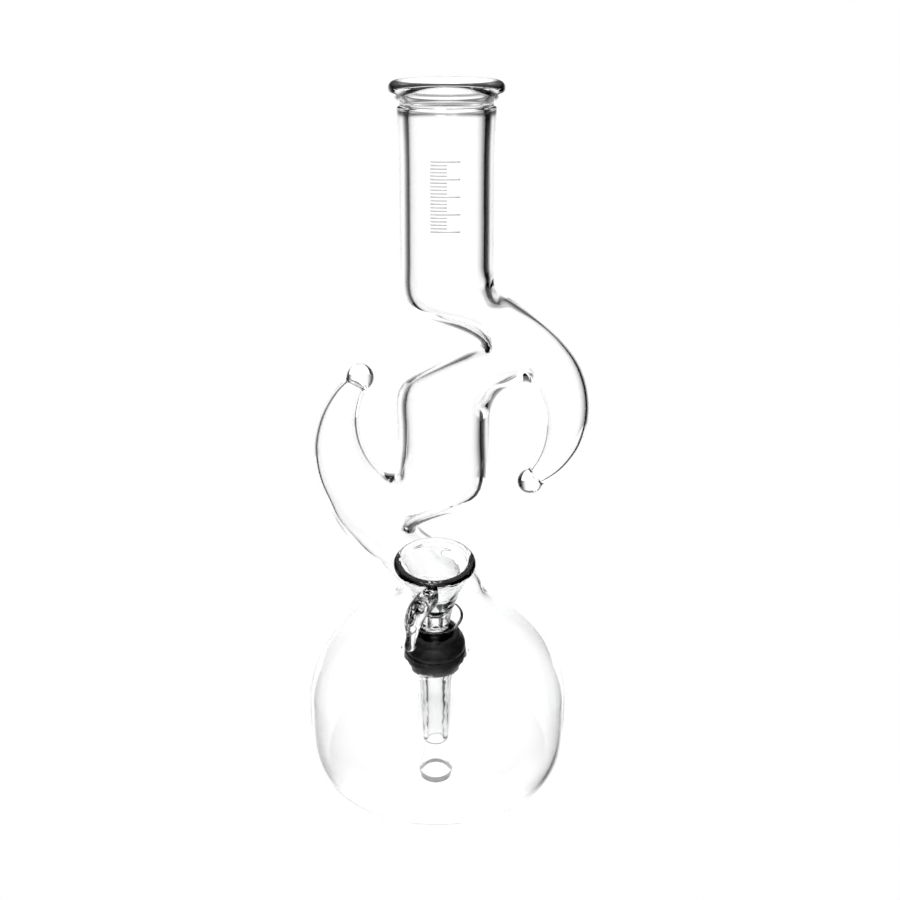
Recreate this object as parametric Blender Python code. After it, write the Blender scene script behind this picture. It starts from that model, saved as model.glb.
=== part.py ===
"""Zig-zag glass water pipe: clear body with two hollow horns, rubber grommet, downstem and pull-out bowl.

The frame is +Z up with the origin at the centre of the flask's flat base. The zig-zag and both horns lie
in the XZ plane, and the bowl stands out to the front, which is -Y. Every length is in metres.
"""

import math

import bmesh
import bpy
from mathutils import Matrix, Vector

# Fits
GAP = 0.0003  # clearance between any two touching pieces

# Straight tube
TUBE_OD = 0.0382
TUBE_WALL = 0.0040
NECK_LENGTH = 0.0658
MIDDLE_LENGTH = 0.0120
NECK_X = 0.0041  # the neck's axis stands this far to the right of the flask's
MIDDLE_X = 0.0027

# Bends and horns
BEND_WALL = 0.0034
BEND_RISE = 0.0640  # from the weld under the upper bend to the weld above it
LOWER_RISE = 0.0595  # from the flask's neck to the weld above the lower bend
HORN_WALL = 0.0020
JUNCTION_DEPTH = 0.0195  # half the front-to-back depth where three limbs meet
RIGHT_HORN_ARC = 0.0348
LEFT_HORN_ARC = 0.0447
TIP_LENGTH = 0.0035  # from a horn's open end to the middle of its solid ball

# Mouth
MOUTH_HEIGHT = 0.0105
LIP_FLARE = 0.00435  # the lip stands out this far from the tube
LIP_BEAD = 0.0030  # radius of the rolled edge

# Flask
FLASK_OD = 0.1106
FLASK_WALL = 0.0020
BELLY_HEIGHT = 0.0473  # from the base to the widest ring
SHOULDER_RISE = 0.0500  # the upper dome's own height above the widest ring
BASE_FLAT = 0.0200  # radius of the flat that the pipe stands on
FLASK_NECK_OD = 0.0352
FLASK_NECK_TOP = 0.0985
FLASK_NECK_X = 0.0014
BELLY_POWER = 3.24  # how square the belly is below the widest ring
DOME_POWER = 1.86

# Port, grommet and stem
PORT_X = -0.0007
PORT_Y = -0.0350
PORT_SINK = 0.0000610  # the seat's centre lies this far under the dome's own surface
STEM_TILT = 72.5  # degrees above the horizontal
SEAT_RADIUS = 0.0170  # flattened glass round the hole
SEAT_BLEND = 0.0300
SEAT_CLEAR = 0.0060  # the pressed seat fades out this far under the top of the flask's neck
RIM_BORE = 0.0224
RIM_WIDTH = 0.0034  # from the bore to the outside of the rim
RIM_THICKNESS = 0.0040
GROMMET_LAP = 0.0011  # the collar and the bulb reach this far past the rim's bore
GROMMET_ABOVE = 0.0078  # above the port's outer face
GROMMET_BELOW = 0.0084
STEM_OD = 0.0147
STEM_WALL = 0.0015
STEM_REACH = 0.0700  # below the port's outer face
FLARE_WIDTH = 0.00345  # the flare's lip stands out this far from the stem
FLARE_TOP = 0.0156

# Slide
SLIDE_PLAY = 0.00035  # all round, inside the downstem
SLIDE_WALL = 0.0023
SLIDE_REACH = 0.0510
BOWL_OD = 0.0328
BOWL_TOP = 0.0437
BOWL_HOLE = 0.0040
HANDLE_OD = 0.0090  # at its thickest

# Mesh fineness
CAGE_SIDES = 12  # control points round a blown tube
TUBE_SIDES = 2 * CAGE_SIDES
FLASK_SIDES = 36
TURNED_SIDES = 24
CAGE_PULL = (2 + math.cos(2 * math.pi / CAGE_SIDES)) / 3  # a subdivided ring shrinks to this share

# Places that follow from the sizes
TUBE_R = TUBE_OD / 2
LIP_OD = TUBE_OD + 2 * LIP_FLARE
RIM_OD = RIM_BORE + 2 * RIM_WIDTH
GROMMET_OD = RIM_BORE + 2 * GROMMET_LAP
STEM_BORE = STEM_OD - 2 * STEM_WALL
FLARE_OD = STEM_OD + 2 * FLARE_WIDTH
SLIDE_OD = STEM_BORE - 2 * SLIDE_PLAY
SLIDE_BORE = SLIDE_OD - 2 * SLIDE_WALL
LOWER_WELD = FLASK_NECK_TOP
MIDDLE_BASE = LOWER_WELD + LOWER_RISE
MIDDLE_TOP = MIDDLE_BASE + MIDDLE_LENGTH
NECK_BASE = MIDDLE_TOP + BEND_RISE
NECK_TOP = NECK_BASE + NECK_LENGTH
TILT = math.radians(STEM_TILT)
STEM_AXIS = Vector((0, -math.cos(TILT), math.sin(TILT)))
PORT_SHARE = 1 - (-PORT_Y / (FLASK_OD / 2)) ** DOME_POWER
PORT_Z = BELLY_HEIGHT + SHOULDER_RISE * PORT_SHARE ** (1 / DOME_POWER) - PORT_SINK
PORT = Vector((PORT_X, PORT_Y, PORT_Z))
# Columns: to the right, to the front across the stem, and up along it.
STEM_FRAME = Matrix.Translation(PORT) @ Matrix.Rotation(math.pi / 2 - TILT, 4, "X")


def clear_scene():
    for thing in list(bpy.data.objects):
        bpy.data.objects.remove(thing, do_unlink=True)


def material(name, color, roughness, alpha=1.0, transmission=0.0):
    made = bpy.data.materials.new(name)
    made.use_nodes = True
    shader = made.node_tree.nodes["Principled BSDF"]
    shader.inputs["Base Color"].default_value = (*color, 1)
    shader.inputs["Roughness"].default_value = roughness
    shader.inputs["Metallic"].default_value = 0.0
    shader.inputs["Alpha"].default_value = alpha
    shader.inputs["Transmission Weight"].default_value = transmission
    made.diffuse_color = (*color, alpha)
    return made


def clear_glass(name, tint):
    return material(name, tint, 0.02, transmission=1.0)


def add_object(name, bm, look, smooth_angle=40):
    """Close up a bmesh as one named piece with its faces pointing out."""
    bmesh.ops.recalc_face_normals(bm, faces=bm.faces)
    mesh = bpy.data.meshes.new(name)
    bm.to_mesh(mesh)
    bm.free()
    mesh.materials.append(look)
    mesh.shade_smooth()
    mesh.set_sharp_from_angle(angle=math.radians(smooth_angle))
    piece = bpy.data.objects.new(name, mesh)
    bpy.context.scene.collection.objects.link(piece)
    return piece


def arc(centre, radius, start, end, steps):
    """Points on an arc in a profile's plane, with the angles in degrees."""
    angles = [math.radians(start + (end - start) * i / steps) for i in range(steps + 1)]
    return [(centre[0] + radius * math.cos(a), centre[1] + radius * math.sin(a)) for a in angles]


# Turned pieces -------------------------------------------------------------------------------------


def turned(name, profile, look, sides=TURNED_SIDES, place=None):
    """Turn a closed profile of (radius, height) points round the Z axis, then put it in its place.

    A point at radius 0 becomes a pole, so an open-ended profile that starts and ends there is solid.
    """
    bm = bmesh.new()
    rings = []
    for radius, height in profile:
        count = sides if radius > 0 else 1
        rings.append(level_ring(bm, radius, height, count))
    solid = profile[0][0] == 0
    for i in range(len(rings) - solid):
        join_rings(bm, rings[i], rings[(i + 1) % len(rings)])
    piece = add_object(name, bm, look)
    piece.matrix_world = place or Matrix()
    return piece


def level_ring(bm, radius, height, count):
    angles = [2 * math.pi * i / count for i in range(count)]
    return [bm.verts.new((radius * math.cos(a), radius * math.sin(a), height)) for a in angles]


def join_rings(bm, first, second):
    """Skin two rings with quads, or with triangles where one of them is a pole."""
    count = max(len(first), len(second))
    for i in range(count):
        j = (i + 1) % count
        near = [first[i % len(first)], first[j % len(first)]]
        far = [second[j % len(second)], second[i % len(second)]]
        bm.faces.new(dict.fromkeys(near + far))


# Blown pieces: rings in the XZ plane's limbs -------------------------------------------------------


class Limb:
    """A tube's stations. Each is a pair of edge points in the XZ plane with the depth and the wall there."""

    def __init__(self):
        self.stations = []

    def add(self, plus, minus, depth, wall):
        self.stations.append((Vector(plus), Vector(minus), depth, wall))
        return self


def station_ring(bm, plus, minus, depth, inset):
    """One ring of control points, drawn in by the wall where it belongs to the inner skin."""
    centre = (plus + minus) / 2
    half = (plus - minus) / 2
    half *= (half.length - inset) / half.length / CAGE_PULL
    depth = (depth - inset) / CAGE_PULL
    ring = []
    for i in range(CAGE_SIDES):
        turn = 2 * math.pi * i / CAGE_SIDES
        x, z = centre + half * math.sin(turn)
        ring.append(bm.verts.new((x, -depth * math.cos(turn), z)))
    return ring


def junction_rings(bm, centre, crotches, depth, inset):
    """Three half-rings that share a front and a back pole, one through each crotch between two limbs."""
    half = CAGE_SIDES // 2
    depth = (depth - inset) / CAGE_PULL
    front = bm.verts.new((centre.x, -depth, centre.y))
    back = bm.verts.new((centre.x, depth, centre.y))
    chains = []
    for crotch in crotches:
        reach = crotch - centre
        reach *= (reach.length - inset) / reach.length / CAGE_PULL
        chain = []
        for i in range(1, half):
            turn = math.pi * i / half
            x, z = centre + reach * math.sin(turn)
            chain.append(bm.verts.new((x, -depth * math.cos(turn), z)))
        chains.append(chain)
    return front, back, chains


def blown_junction(name, look, centre, crotches, depth, limbs):
    """A hollow three-way piece. limbs holds (plus crotch, minus crotch, Limb) for each way out of it."""
    bm = bmesh.new()
    crease = bm.edges.layers.float.new("crease_edge")
    ends = []
    for inner in (False, True):
        inset = BEND_WALL if inner else 0
        front, back, chains = junction_rings(bm, centre, crotches, depth, inset)
        for plus, minus, limb in limbs:
            last = [front, *chains[plus], back, *reversed(chains[minus])]
            for plus_edge, minus_edge, limb_depth, wall in limb.stations:
                ring = station_ring(bm, plus_edge, minus_edge, limb_depth, wall if inner else 0)
                join_rings(bm, last, ring)
                last = ring
            ends.append(last)
    for outer, inner in zip(ends[: len(limbs)], ends[len(limbs) :]):
        join_rings(bm, outer, inner)
        for ring in (outer, inner):
            for i in range(CAGE_SIDES):
                bm.edges.get((ring[i], ring[(i + 1) % CAGE_SIDES]))[crease] = 1.0
    piece = add_object(name, bm, look, smooth_angle=180)
    smooth = piece.modifiers.new("blown_surface", "SUBSURF")
    smooth.levels = smooth.render_levels = 1
    return piece


def horn(limb, arc_centre, arc_radius, angles, radii):
    """Add a horn's round stations along an arc, each square to it. angles are in degrees."""
    for angle, radius in zip(angles, radii):
        outward = Vector((math.cos(math.radians(angle)), math.sin(math.radians(angle))))
        middle = arc_centre + outward * arc_radius
        limb.add(middle + outward * radius, middle - outward * radius, radius, HORN_WALL)
    return limb


def horn_tip(name, look, arc_centre, arc_radius, end_angle, end_radius, ball_radius, sweep):
    """The solid ball that closes a horn. sweep is +1 or -1, the way in which the horn's arc runs."""
    outward = Vector((math.cos(math.radians(end_angle)), math.sin(math.radians(end_angle))))
    forward = Vector((-outward.y, outward.x)) * sweep
    base = arc_centre + outward * arc_radius + forward * GAP
    reach = TIP_LENGTH
    start = math.degrees(math.asin(min(0.95, (end_radius + 0.0002) / ball_radius)))
    profile = [(0, 0), (end_radius, 0), (end_radius, reach - ball_radius * math.cos(math.radians(start)))]
    if profile[2][1] <= 0.0001:
        profile.pop()
    ball = arc((0, reach), ball_radius, start - 90, 90, 7)
    profile += [point for point in ball if point[1] > profile[-1][1]][:-1]
    profile.append((0, reach + ball_radius))
    turn = Vector((0, 0, 1)).rotation_difference(Vector((forward.x, 0, forward.y))).to_matrix().to_4x4()
    place = Matrix.Translation((base.x, 0, base.y)) @ turn
    return turned(name, profile, look, sides=20, place=place)


# The upper bend: neck limb, middle limb and the right horn ------------------------------------------

RIGHT_ANGLES = (40, 21, 2, -17, -34, -49)
RIGHT_RADII = (0.0121, 0.0106, 0.0094, 0.0080, 0.0062, 0.0044)
RIGHT_BALL = 0.0053


def upper_bend(look):
    """The bend that folds the neck back over the middle tube, with the right horn on its outside."""
    base = MIDDLE_TOP + GAP
    top = NECK_BASE - GAP
    left, right = MIDDLE_X - TUBE_R, MIDDLE_X + TUBE_R
    neck_left, neck_right = NECK_X - TUBE_R, NECK_X + TUBE_R
    crotch_neck = Vector((neck_right + 0.0020, top - 0.0083))
    crotch_fold = Vector((neck_right - 0.0034, base + 0.0342))
    crotch_horn = Vector((neck_right + 0.0118, base + 0.0174))
    centre = Vector((neck_right + 0.0022, base + 0.0350))

    fold_in = Vector((neck_left + 0.0012, top - 0.0168))
    neck = Limb()
    for share, lift in ((0.80, 0.0003), (0.48, 0.0008), (0.18, 0.0017)):
        edge = fold_in.lerp(crotch_fold, share) + Vector((0, 0.0016))
        neck.add((neck_right + 0.0002, crotch_neck.y + lift), edge, TUBE_R, BEND_WALL)
    neck.add((neck_right, crotch_neck.y + 0.0036), fold_in + Vector((-0.0006, 0.0040)), TUBE_R, BEND_WALL)
    neck.add((neck_right, top), (neck_left, top), TUBE_R, TUBE_WALL)

    fold_out = Vector((left + 0.0014, base + 0.0166))
    middle = Limb()
    for share, drop in ((0.80, 0.15), (0.52, 0.42), (0.25, 0.66)):
        edge = fold_out.lerp(crotch_fold, share) - Vector((0, 0.0006))
        inner = crotch_horn.lerp(Vector((right + 0.0002, base + 0.0082)), drop)
        middle.add(inner + Vector((-0.0006, 0.0016)), edge, TUBE_R, BEND_WALL)
    middle.add((right + 0.0002, base + 0.0082), fold_out + Vector((-0.0006, -0.0028)), TUBE_R, TUBE_WALL)
    middle.add((right, base), (left, base), TUBE_R, TUBE_WALL)

    arc_centre = Vector((neck_right - 0.0032, base + 0.0014))
    right_horn = Limb()
    right_horn.add(
        crotch_neck + Vector((0.0062, -0.0046)), crotch_horn + Vector((0.0036, -0.0004)), 0.0180, BEND_WALL
    )
    right_horn.add(
        crotch_neck + Vector((0.0160, -0.0114)), crotch_horn + Vector((0.0056, -0.0026)), 0.0150, HORN_WALL
    )
    horn(right_horn, arc_centre, RIGHT_HORN_ARC, RIGHT_ANGLES, RIGHT_RADII)

    crotches = (crotch_neck, crotch_fold, crotch_horn)
    limbs = ((0, 1, neck), (2, 1, middle), (0, 2, right_horn))
    blown_junction("upper_bend", look, centre, crotches, JUNCTION_DEPTH, limbs)
    return arc_centre


# The lower bend: middle limb, flask limb and the left horn ------------------------------------------

LEFT_ANGLES = (213, 199, 185, 171, 158, 150.5)
LEFT_RADII = (0.0131, 0.0116, 0.0100, 0.0079, 0.0059, 0.0046)
LEFT_BALL = 0.0057


def lower_bend(look):
    """The bend under the middle tube, which turns back down into the flask, with the left horn outside."""
    base = LOWER_WELD + GAP
    top = MIDDLE_BASE - GAP
    left, right = MIDDLE_X - TUBE_R, MIDDLE_X + TUBE_R
    neck_half = FLASK_NECK_OD / 2
    foot_left, foot_right = FLASK_NECK_X - neck_half, FLASK_NECK_X + neck_half
    crotch_horn = Vector((left - 0.0010, top - 0.0112))
    crotch_fold = Vector((left + 0.0050, base + 0.0262))
    outer = Vector((left - 0.0216, base + 0.0218))
    centre = Vector((left - 0.0050, base + 0.0320))

    fold_in = Vector((right - 0.0012, top - 0.0220))
    middle = Limb()
    for share, lift in ((0.78, 0.0002), (0.46, 0.0008), (0.16, 0.0020)):
        edge = fold_in.lerp(crotch_fold, share) + Vector((0, 0.0008))
        middle.add(edge, (left - 0.0002, crotch_horn.y + lift), TUBE_R, BEND_WALL)
    middle.add(fold_in + Vector((0.0008, 0.0040)), (left, crotch_horn.y + 0.0040), TUBE_R, BEND_WALL)
    middle.add((right, top), (left, top), TUBE_R, TUBE_WALL)

    foot = Limb()
    fold_out = Vector((foot_right - 0.0026, base + 0.0060))
    for share, depth in ((0.76, 0.0192), (0.44, 0.0186), (0.14, 0.0180)):
        plus = fold_out.lerp(crotch_fold, share) - Vector((0, 0.0004))
        minus = Vector((foot_left - 0.0036, base + 0.0056)).lerp(outer, share)
        foot.add(plus, minus, depth, BEND_WALL)
    foot.add((foot_right - 0.0006, base + 0.0030), (foot_left - 0.0008, base + 0.0018), neck_half, BEND_WALL)
    foot.add((foot_right, base), (foot_left, base), neck_half, FLASK_WALL)

    arc_centre = Vector((left + 0.0198, base + 0.0665))
    left_horn = Limb()
    left_horn.add(
        outer + Vector((-0.0050, 0.0070)), crotch_horn + Vector((-0.0052, 0.0012)), 0.0160, HORN_WALL
    )
    horn(left_horn, arc_centre, LEFT_HORN_ARC, LEFT_ANGLES, LEFT_RADII)

    crotches = (crotch_horn, crotch_fold, outer)
    limbs = ((1, 0, middle), (1, 2, foot), (2, 0, left_horn))
    blown_junction("lower_bend", look, centre, crotches, JUNCTION_DEPTH, limbs)
    return arc_centre


# Straight tubes and mouth ---------------------------------------------------------------------------


def straight_tube(name, x, low, high, look):
    bore = TUBE_R - TUBE_WALL
    profile = [(bore, low), (TUBE_R, low), (TUBE_R, high), (bore, high)]
    return turned(name, profile, look, sides=TUBE_SIDES, place=Matrix.Translation((x, 0, 0)))


def mouth_ring(look):
    """The flared mouth with its rolled bead, welded on top of the neck."""
    low = NECK_TOP + GAP
    top = NECK_TOP + MOUTH_HEIGHT
    bead = (LIP_OD / 2 - LIP_BEAD, top - LIP_BEAD)
    bore = TUBE_R - TUBE_WALL
    profile = [(bore, low), (bore + 0.0001, low + 0.0020), (bore + 0.0011, low + 0.0049)]
    profile += arc(bead, LIP_BEAD, 150, -50, 9)
    profile += [(TUBE_R + 0.0008, low + 0.0012), (TUBE_R, low)]
    return turned("mouth_ring", profile, look, sides=32, place=Matrix.Translation((NECK_X, 0, 0)))


# Flask ----------------------------------------------------------------------------------------------


def power_curve(across, reach, rise, power):
    """The height of a superellipse at a given distance from the axis."""
    return rise * (1 - min(1, across / reach) ** power) ** (1 / power)


def flask_outline():
    """The outside of the flask from the edge of the flat base to the top of its short neck."""
    belly = FLASK_OD / 2
    sink = BELLY_HEIGHT - power_curve(BASE_FLAT, belly, BELLY_HEIGHT, BELLY_POWER)
    points = []
    for angle in (0, 12, 24, 36, 48, 60, 72, 84):
        across = BASE_FLAT + (belly - BASE_FLAT) * math.sin(math.radians(angle)) ** 0.8
        height = BELLY_HEIGHT - power_curve(across, belly, BELLY_HEIGHT, BELLY_POWER)
        points.append((across, (height - sink) * BELLY_HEIGHT / (BELLY_HEIGHT - sink)))
    shoulder_end = FLASK_NECK_OD / 2 + 0.0125
    last = math.acos((shoulder_end / belly) ** (DOME_POWER / 2))
    for i in range(9):
        turn = last * i / 8
        across = belly * math.cos(turn) ** (2 / DOME_POWER)
        points.append((across, BELLY_HEIGHT + SHOULDER_RISE * math.sin(turn) ** (2 / DOME_POWER)))
    neck = FLASK_NECK_OD / 2
    foot = points[-1][1]
    climb = FLASK_NECK_TOP - foot
    for across, share in ((0.0077, 0.26), (0.0038, 0.50), (0.0012, 0.76), (0.0, 1.0)):
        points.append((neck + across, foot + climb * share))
    return points


def inset_outline(points, wall):
    """The same outline moved in by the wall, square to itself."""
    inner = []
    for i, point in enumerate(points):
        before = Vector(points[max(i - 1, 0)])
        after = Vector(points[min(i + 1, len(points) - 1)])
        along = (after - before).normalized()
        inner.append(Vector(point) + Vector((-along.y, along.x)) * wall)
    inner[0] = Vector((points[0][0] - wall * 0.4, wall))
    inner[-1] = Vector((points[-1][0] - wall, points[-1][1]))
    return inner


def smooth_step(value):
    value = min(1, max(0, value))
    return value * value * (3 - 2 * value)


def lean_and_flatten(bm, inner_verts):
    """Lean the neck over to the bend's foot, and press the shoulder flat round the port."""
    lean_start = BELLY_HEIGHT + SHOULDER_RISE * 0.6
    for vert in bm.verts:
        height = vert.co.z
        vert.co.x += FLASK_NECK_X * smooth_step((height - lean_start) / (FLASK_NECK_TOP - lean_start))
        offset = vert.co - PORT
        along = offset.dot(STEM_AXIS)
        across = (offset - STEM_AXIS * along).length
        if along > -FLASK_OD / 2:
            target = -FLASK_WALL if vert in inner_verts else 0
            share = smooth_step((SEAT_BLEND - across) / (SEAT_BLEND - SEAT_RADIUS))
            share *= smooth_step((FLASK_NECK_TOP - height) / SEAT_CLEAR)
            vert.co += STEM_AXIS * (target - along) * share


def flask(look):
    """The round flask: a flat-footed blown shell, open at the neck and at the port for the grommet."""
    bm = bmesh.new()
    outline = flask_outline()
    skins = []
    for points in (outline, inset_outline(outline, FLASK_WALL)):
        rings = [[bm.verts.new((0, 0, points[0][1]))]]
        for across, height in points:
            rings.append(level_ring(bm, across, height, FLASK_SIDES))
        for first, second in zip(rings, rings[1:]):
            join_rings(bm, first, second)
        skins.append(rings)
    join_rings(bm, skins[0][-1], skins[1][-1])
    lean_and_flatten(bm, {vert for ring in skins[1] for vert in ring})
    piece = add_object("flask", bm, look)

    hole = RIM_OD / 2 + GAP
    depth = 4 * FLASK_WALL
    plug = [(0, -depth), (hole, -depth), (hole, depth), (0, depth)]
    cutter = turned("port_cutter", plug, look, sides=40, place=STEM_FRAME)
    cutter.hide_render = True
    cutter.display_type = "WIRE"
    cut = piece.modifiers.new("port", "BOOLEAN")
    cut.operation = "DIFFERENCE"
    cut.solver = "EXACT"
    cut.object = cutter
    return piece


def port_rim(look):
    """The thick glass ring that stiffens the port and sits in the grommet's groove."""
    half = RIM_THICKNESS / 2
    middle = -FLASK_WALL / 2
    bore = RIM_BORE / 2
    profile = arc((bore + half, middle), half, 90, 270, 4)
    profile += arc((RIM_OD / 2 - half * 0.5, middle - half * 0.5), half * 0.5, -90, 0, 2)
    profile += arc((RIM_OD / 2 - half * 0.5, middle + half * 0.5), half * 0.5, 0, 90, 2)
    return turned("port_rim", profile, look, place=STEM_FRAME)


# Grommet, downstem and slide ------------------------------------------------------------------------


def grommet(look):
    """The rubber bush: a collar above the rim, a groove for it and a bulb below."""
    half = RIM_THICKNESS / 2
    middle = -FLASK_WALL / 2
    groove = RIM_BORE / 2 - GAP
    bore = STEM_OD / 2 + GAP
    top, bottom = GROMMET_ABOVE, -GROMMET_BELOW
    outside = GROMMET_OD / 2
    round_off = 0.0026
    low, high = middle - half - GAP, middle + half + GAP
    profile = [(bore, bottom), (outside - round_off, bottom)]
    profile += arc((outside - round_off, bottom + round_off), round_off, -60, 0, 3)
    profile += [(outside, low - 0.0010), (outside - 0.0008, low), (groove, low)]
    profile += [(groove, high), (outside - 0.0008, high), (outside, high + 0.0010)]
    profile += arc((outside - round_off, top - round_off), round_off, 0, 60, 3)
    profile += [(outside - round_off, top), (bore, top)]
    return turned("grommet", profile, look, place=STEM_FRAME)


def flare_inner():
    """The flare's inside, from the bore to the lip, which is where the bowl comes to rest."""
    bore = STEM_BORE / 2
    foot = GROMMET_ABOVE + 0.0022
    lip = FLARE_OD / 2 - 0.0011
    throat = [(bore, foot), (bore + 0.0006, foot + 0.0016), (bore + 0.0022, foot + 0.0038)]
    return [*throat, (lip, FLARE_TOP - 0.0004)]


def downstem(look):
    """The glass tube through the grommet, with its flared top resting on the rubber."""
    outside = STEM_OD / 2
    foot = GROMMET_ABOVE + GAP
    lip = 0.0011
    profile = [(STEM_BORE / 2, -STEM_REACH), (outside - 0.0004, -STEM_REACH), (outside, -STEM_REACH + 0.0004)]
    profile += [(outside, foot), (outside + 0.0006, foot + 0.0024), (outside + 0.0022, foot + 0.0050)]
    profile += arc((FLARE_OD / 2 - lip, FLARE_TOP - lip), lip, -20, 100, 4)
    profile += reversed(flare_inner())
    return turned("downstem", profile, look, place=STEM_FRAME)


def bowl_seat():
    """Where the bowl's cone meets the slide's stem, just inside the flare."""
    return flare_inner()[0][1] + 0.0008


def bowl_outside():
    """The bowl's outside from its foot to under the rim."""
    foot = bowl_seat()
    stem = SLIDE_OD / 2
    wide = BOWL_OD / 2
    rise = BOWL_TOP - foot
    shares = ((0.0, 0.01), (0.08, 0.07), (0.20, 0.12), (0.32, 0.22), (0.55, 0.44))
    shares += ((0.76, 0.72), (0.88, 0.90))
    return [(stem + (wide - stem) * across, foot + rise * height) for height, across in shares]


def bowl(look):
    """The conical bowl with a thick rounded rim and a draw hole in the bottom of its cavity."""
    wide = BOWL_OD / 2
    foot = bowl_seat()
    hole = BOWL_HOLE / 2
    rim = 0.0013
    cavity = foot + 0.0072
    profile = [(hole, foot), *bowl_outside()]
    profile += arc((wide - rim, BOWL_TOP - rim), rim, -30, 110, 6)
    profile += [(wide - 0.0032, BOWL_TOP - 0.0022), (wide - 0.0054, BOWL_TOP - 0.0078)]
    profile += [(wide - 0.0082, BOWL_TOP - 0.0148), (hole + 0.0034, cavity + 0.0046)]
    profile += [(hole + 0.0014, cavity + 0.0014), (hole, cavity)]
    return turned("bowl", profile, look, place=STEM_FRAME)


def slide_stem(look):
    outside = SLIDE_OD / 2
    top = bowl_seat() - GAP
    low = -SLIDE_REACH
    profile = [(SLIDE_BORE / 2, low), (outside - 0.0005, low), (outside, low + 0.0005), (outside, top)]
    profile += [(SLIDE_BORE / 2, top)]
    return turned("slide_stem", profile, look, place=STEM_FRAME)


def handle(look):
    """The solid glass pull: a thick bead on the bowl's front that trails down to a small ball.

    Each station stands off the bowl's own outside by its thickness and the gap, so it follows the bowl.
    """
    outside = bowl_outside()
    top = BOWL_TOP
    # Height below the rim, turn round the bowl from the front towards the left, thickness as a share.
    route = ((0.0022, 3, 0.66), (0.0052, 6, 0.92), (0.0098, 17, 1.0), (0.0150, 26, 0.92))
    route += ((0.0205, 30, 0.78), (0.0260, 34, 0.62), (0.0310, 38, 0.50), (0.0345, 40, 0.44))
    sides = 8
    path = []
    for drop, turn, share in route:
        radius = HANDLE_OD / 2 * share
        height = top - drop
        clear = radius_at(outside, height) + radius + GAP + 0.0002
        reach = max(clear, STEM_OD / 2 + 0.0058 + radius)
        angle = math.radians(turn)
        path.append((Vector((-reach * math.sin(angle), -reach * math.cos(angle), height)), radius))
    bm = bmesh.new()
    rings = []
    for i, (point, radius) in enumerate(path):
        along = path[min(i + 1, len(path) - 1)][0] - path[max(i - 1, 0)][0]
        turn = Vector((0, 0, 1)).rotation_difference(-along).to_matrix()
        ring = level_ring(bm, radius, 0, sides)
        for vert in ring:
            vert.co = point + turn @ vert.co
        rings.append(ring)
    for first, second in zip(rings, rings[1:]):
        join_rings(bm, first, second)
    for ring, neighbour, size in ((rings[0], path[1], 0.45), (rings[-1], path[-2], 1.0)):
        end = path[0] if ring is rings[0] else path[-1]
        away = (end[0] - neighbour[0]).normalized()
        cap = bm.verts.new(end[0] + away * end[1] * (0.6 + size))
        lift = away * end[1] * (0.4 + 0.4 * size)
        mid = [bm.verts.new(end[0].lerp(vert.co, 0.5 + 0.5 * size) + lift) for vert in ring]
        join_rings(bm, ring, mid)
        join_rings(bm, mid, [cap])
    piece = add_object("handle", bm, look, smooth_angle=180)
    piece.matrix_world = STEM_FRAME
    smooth = piece.modifiers.new("melted_surface", "SUBSURF")
    smooth.levels = smooth.render_levels = 1
    return piece


def radius_at(outline, height):
    """The widest that an outline gets at a height, held at its ends."""
    for (low_r, low), (high_r, high) in zip(outline, outline[1:]):
        if low <= height <= high:
            return low_r + (high_r - low_r) * (height - low) / (high - low)
    return outline[-1][0] if height > outline[-1][1] else outline[0][0]


def build():
    clear_scene()
    upper_centre = upper_bend(clear_glass("upper_bend_glass", (0.96, 0.99, 0.99)))
    lower_centre = lower_bend(clear_glass("lower_bend_glass", (0.96, 0.99, 0.98)))
    horn_tip(
        "right_horn_tip",
        clear_glass("right_tip_glass", (0.90, 0.95, 0.95)),
        upper_centre,
        RIGHT_HORN_ARC,
        RIGHT_ANGLES[-1],
        RIGHT_RADII[-1],
        RIGHT_BALL,
        -1,
    )
    horn_tip(
        "left_horn_tip",
        clear_glass("left_tip_glass", (0.90, 0.95, 0.94)),
        lower_centre,
        LEFT_HORN_ARC,
        LEFT_ANGLES[-1],
        LEFT_RADII[-1],
        LEFT_BALL,
        -1,
    )
    middle_glass = clear_glass("middle_glass", (0.97, 0.99, 0.99))
    straight_tube("middle_tube", MIDDLE_X, MIDDLE_BASE, MIDDLE_TOP, middle_glass)
    neck_glass = clear_glass("neck_glass", (0.97, 0.99, 0.98))
    straight_tube("neck_tube", NECK_X, NECK_BASE, NECK_TOP, neck_glass)
    mouth_ring(clear_glass("mouth_glass", (0.93, 0.97, 0.97)))
    flask(clear_glass("flask_glass", (0.97, 0.99, 0.99)))
    port_rim(clear_glass("port_glass", (0.92, 0.96, 0.96)))
    grommet(material("grommet_rubber", (0.015, 0.015, 0.016), 0.55))
    downstem(clear_glass("downstem_glass", (0.96, 0.98, 0.98)))
    bowl(clear_glass("bowl_glass", (0.94, 0.97, 0.97)))
    slide_stem(clear_glass("slide_stem_glass", (0.95, 0.98, 0.98)))
    handle(clear_glass("handle_glass", (0.88, 0.92, 0.92)))


build()
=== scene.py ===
"""Clear zig-zag glass water pipe with its grommet, downstem and slide, on a lit table."""

import math

import bmesh
import bpy
from mathutils import Matrix, Vector


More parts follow.
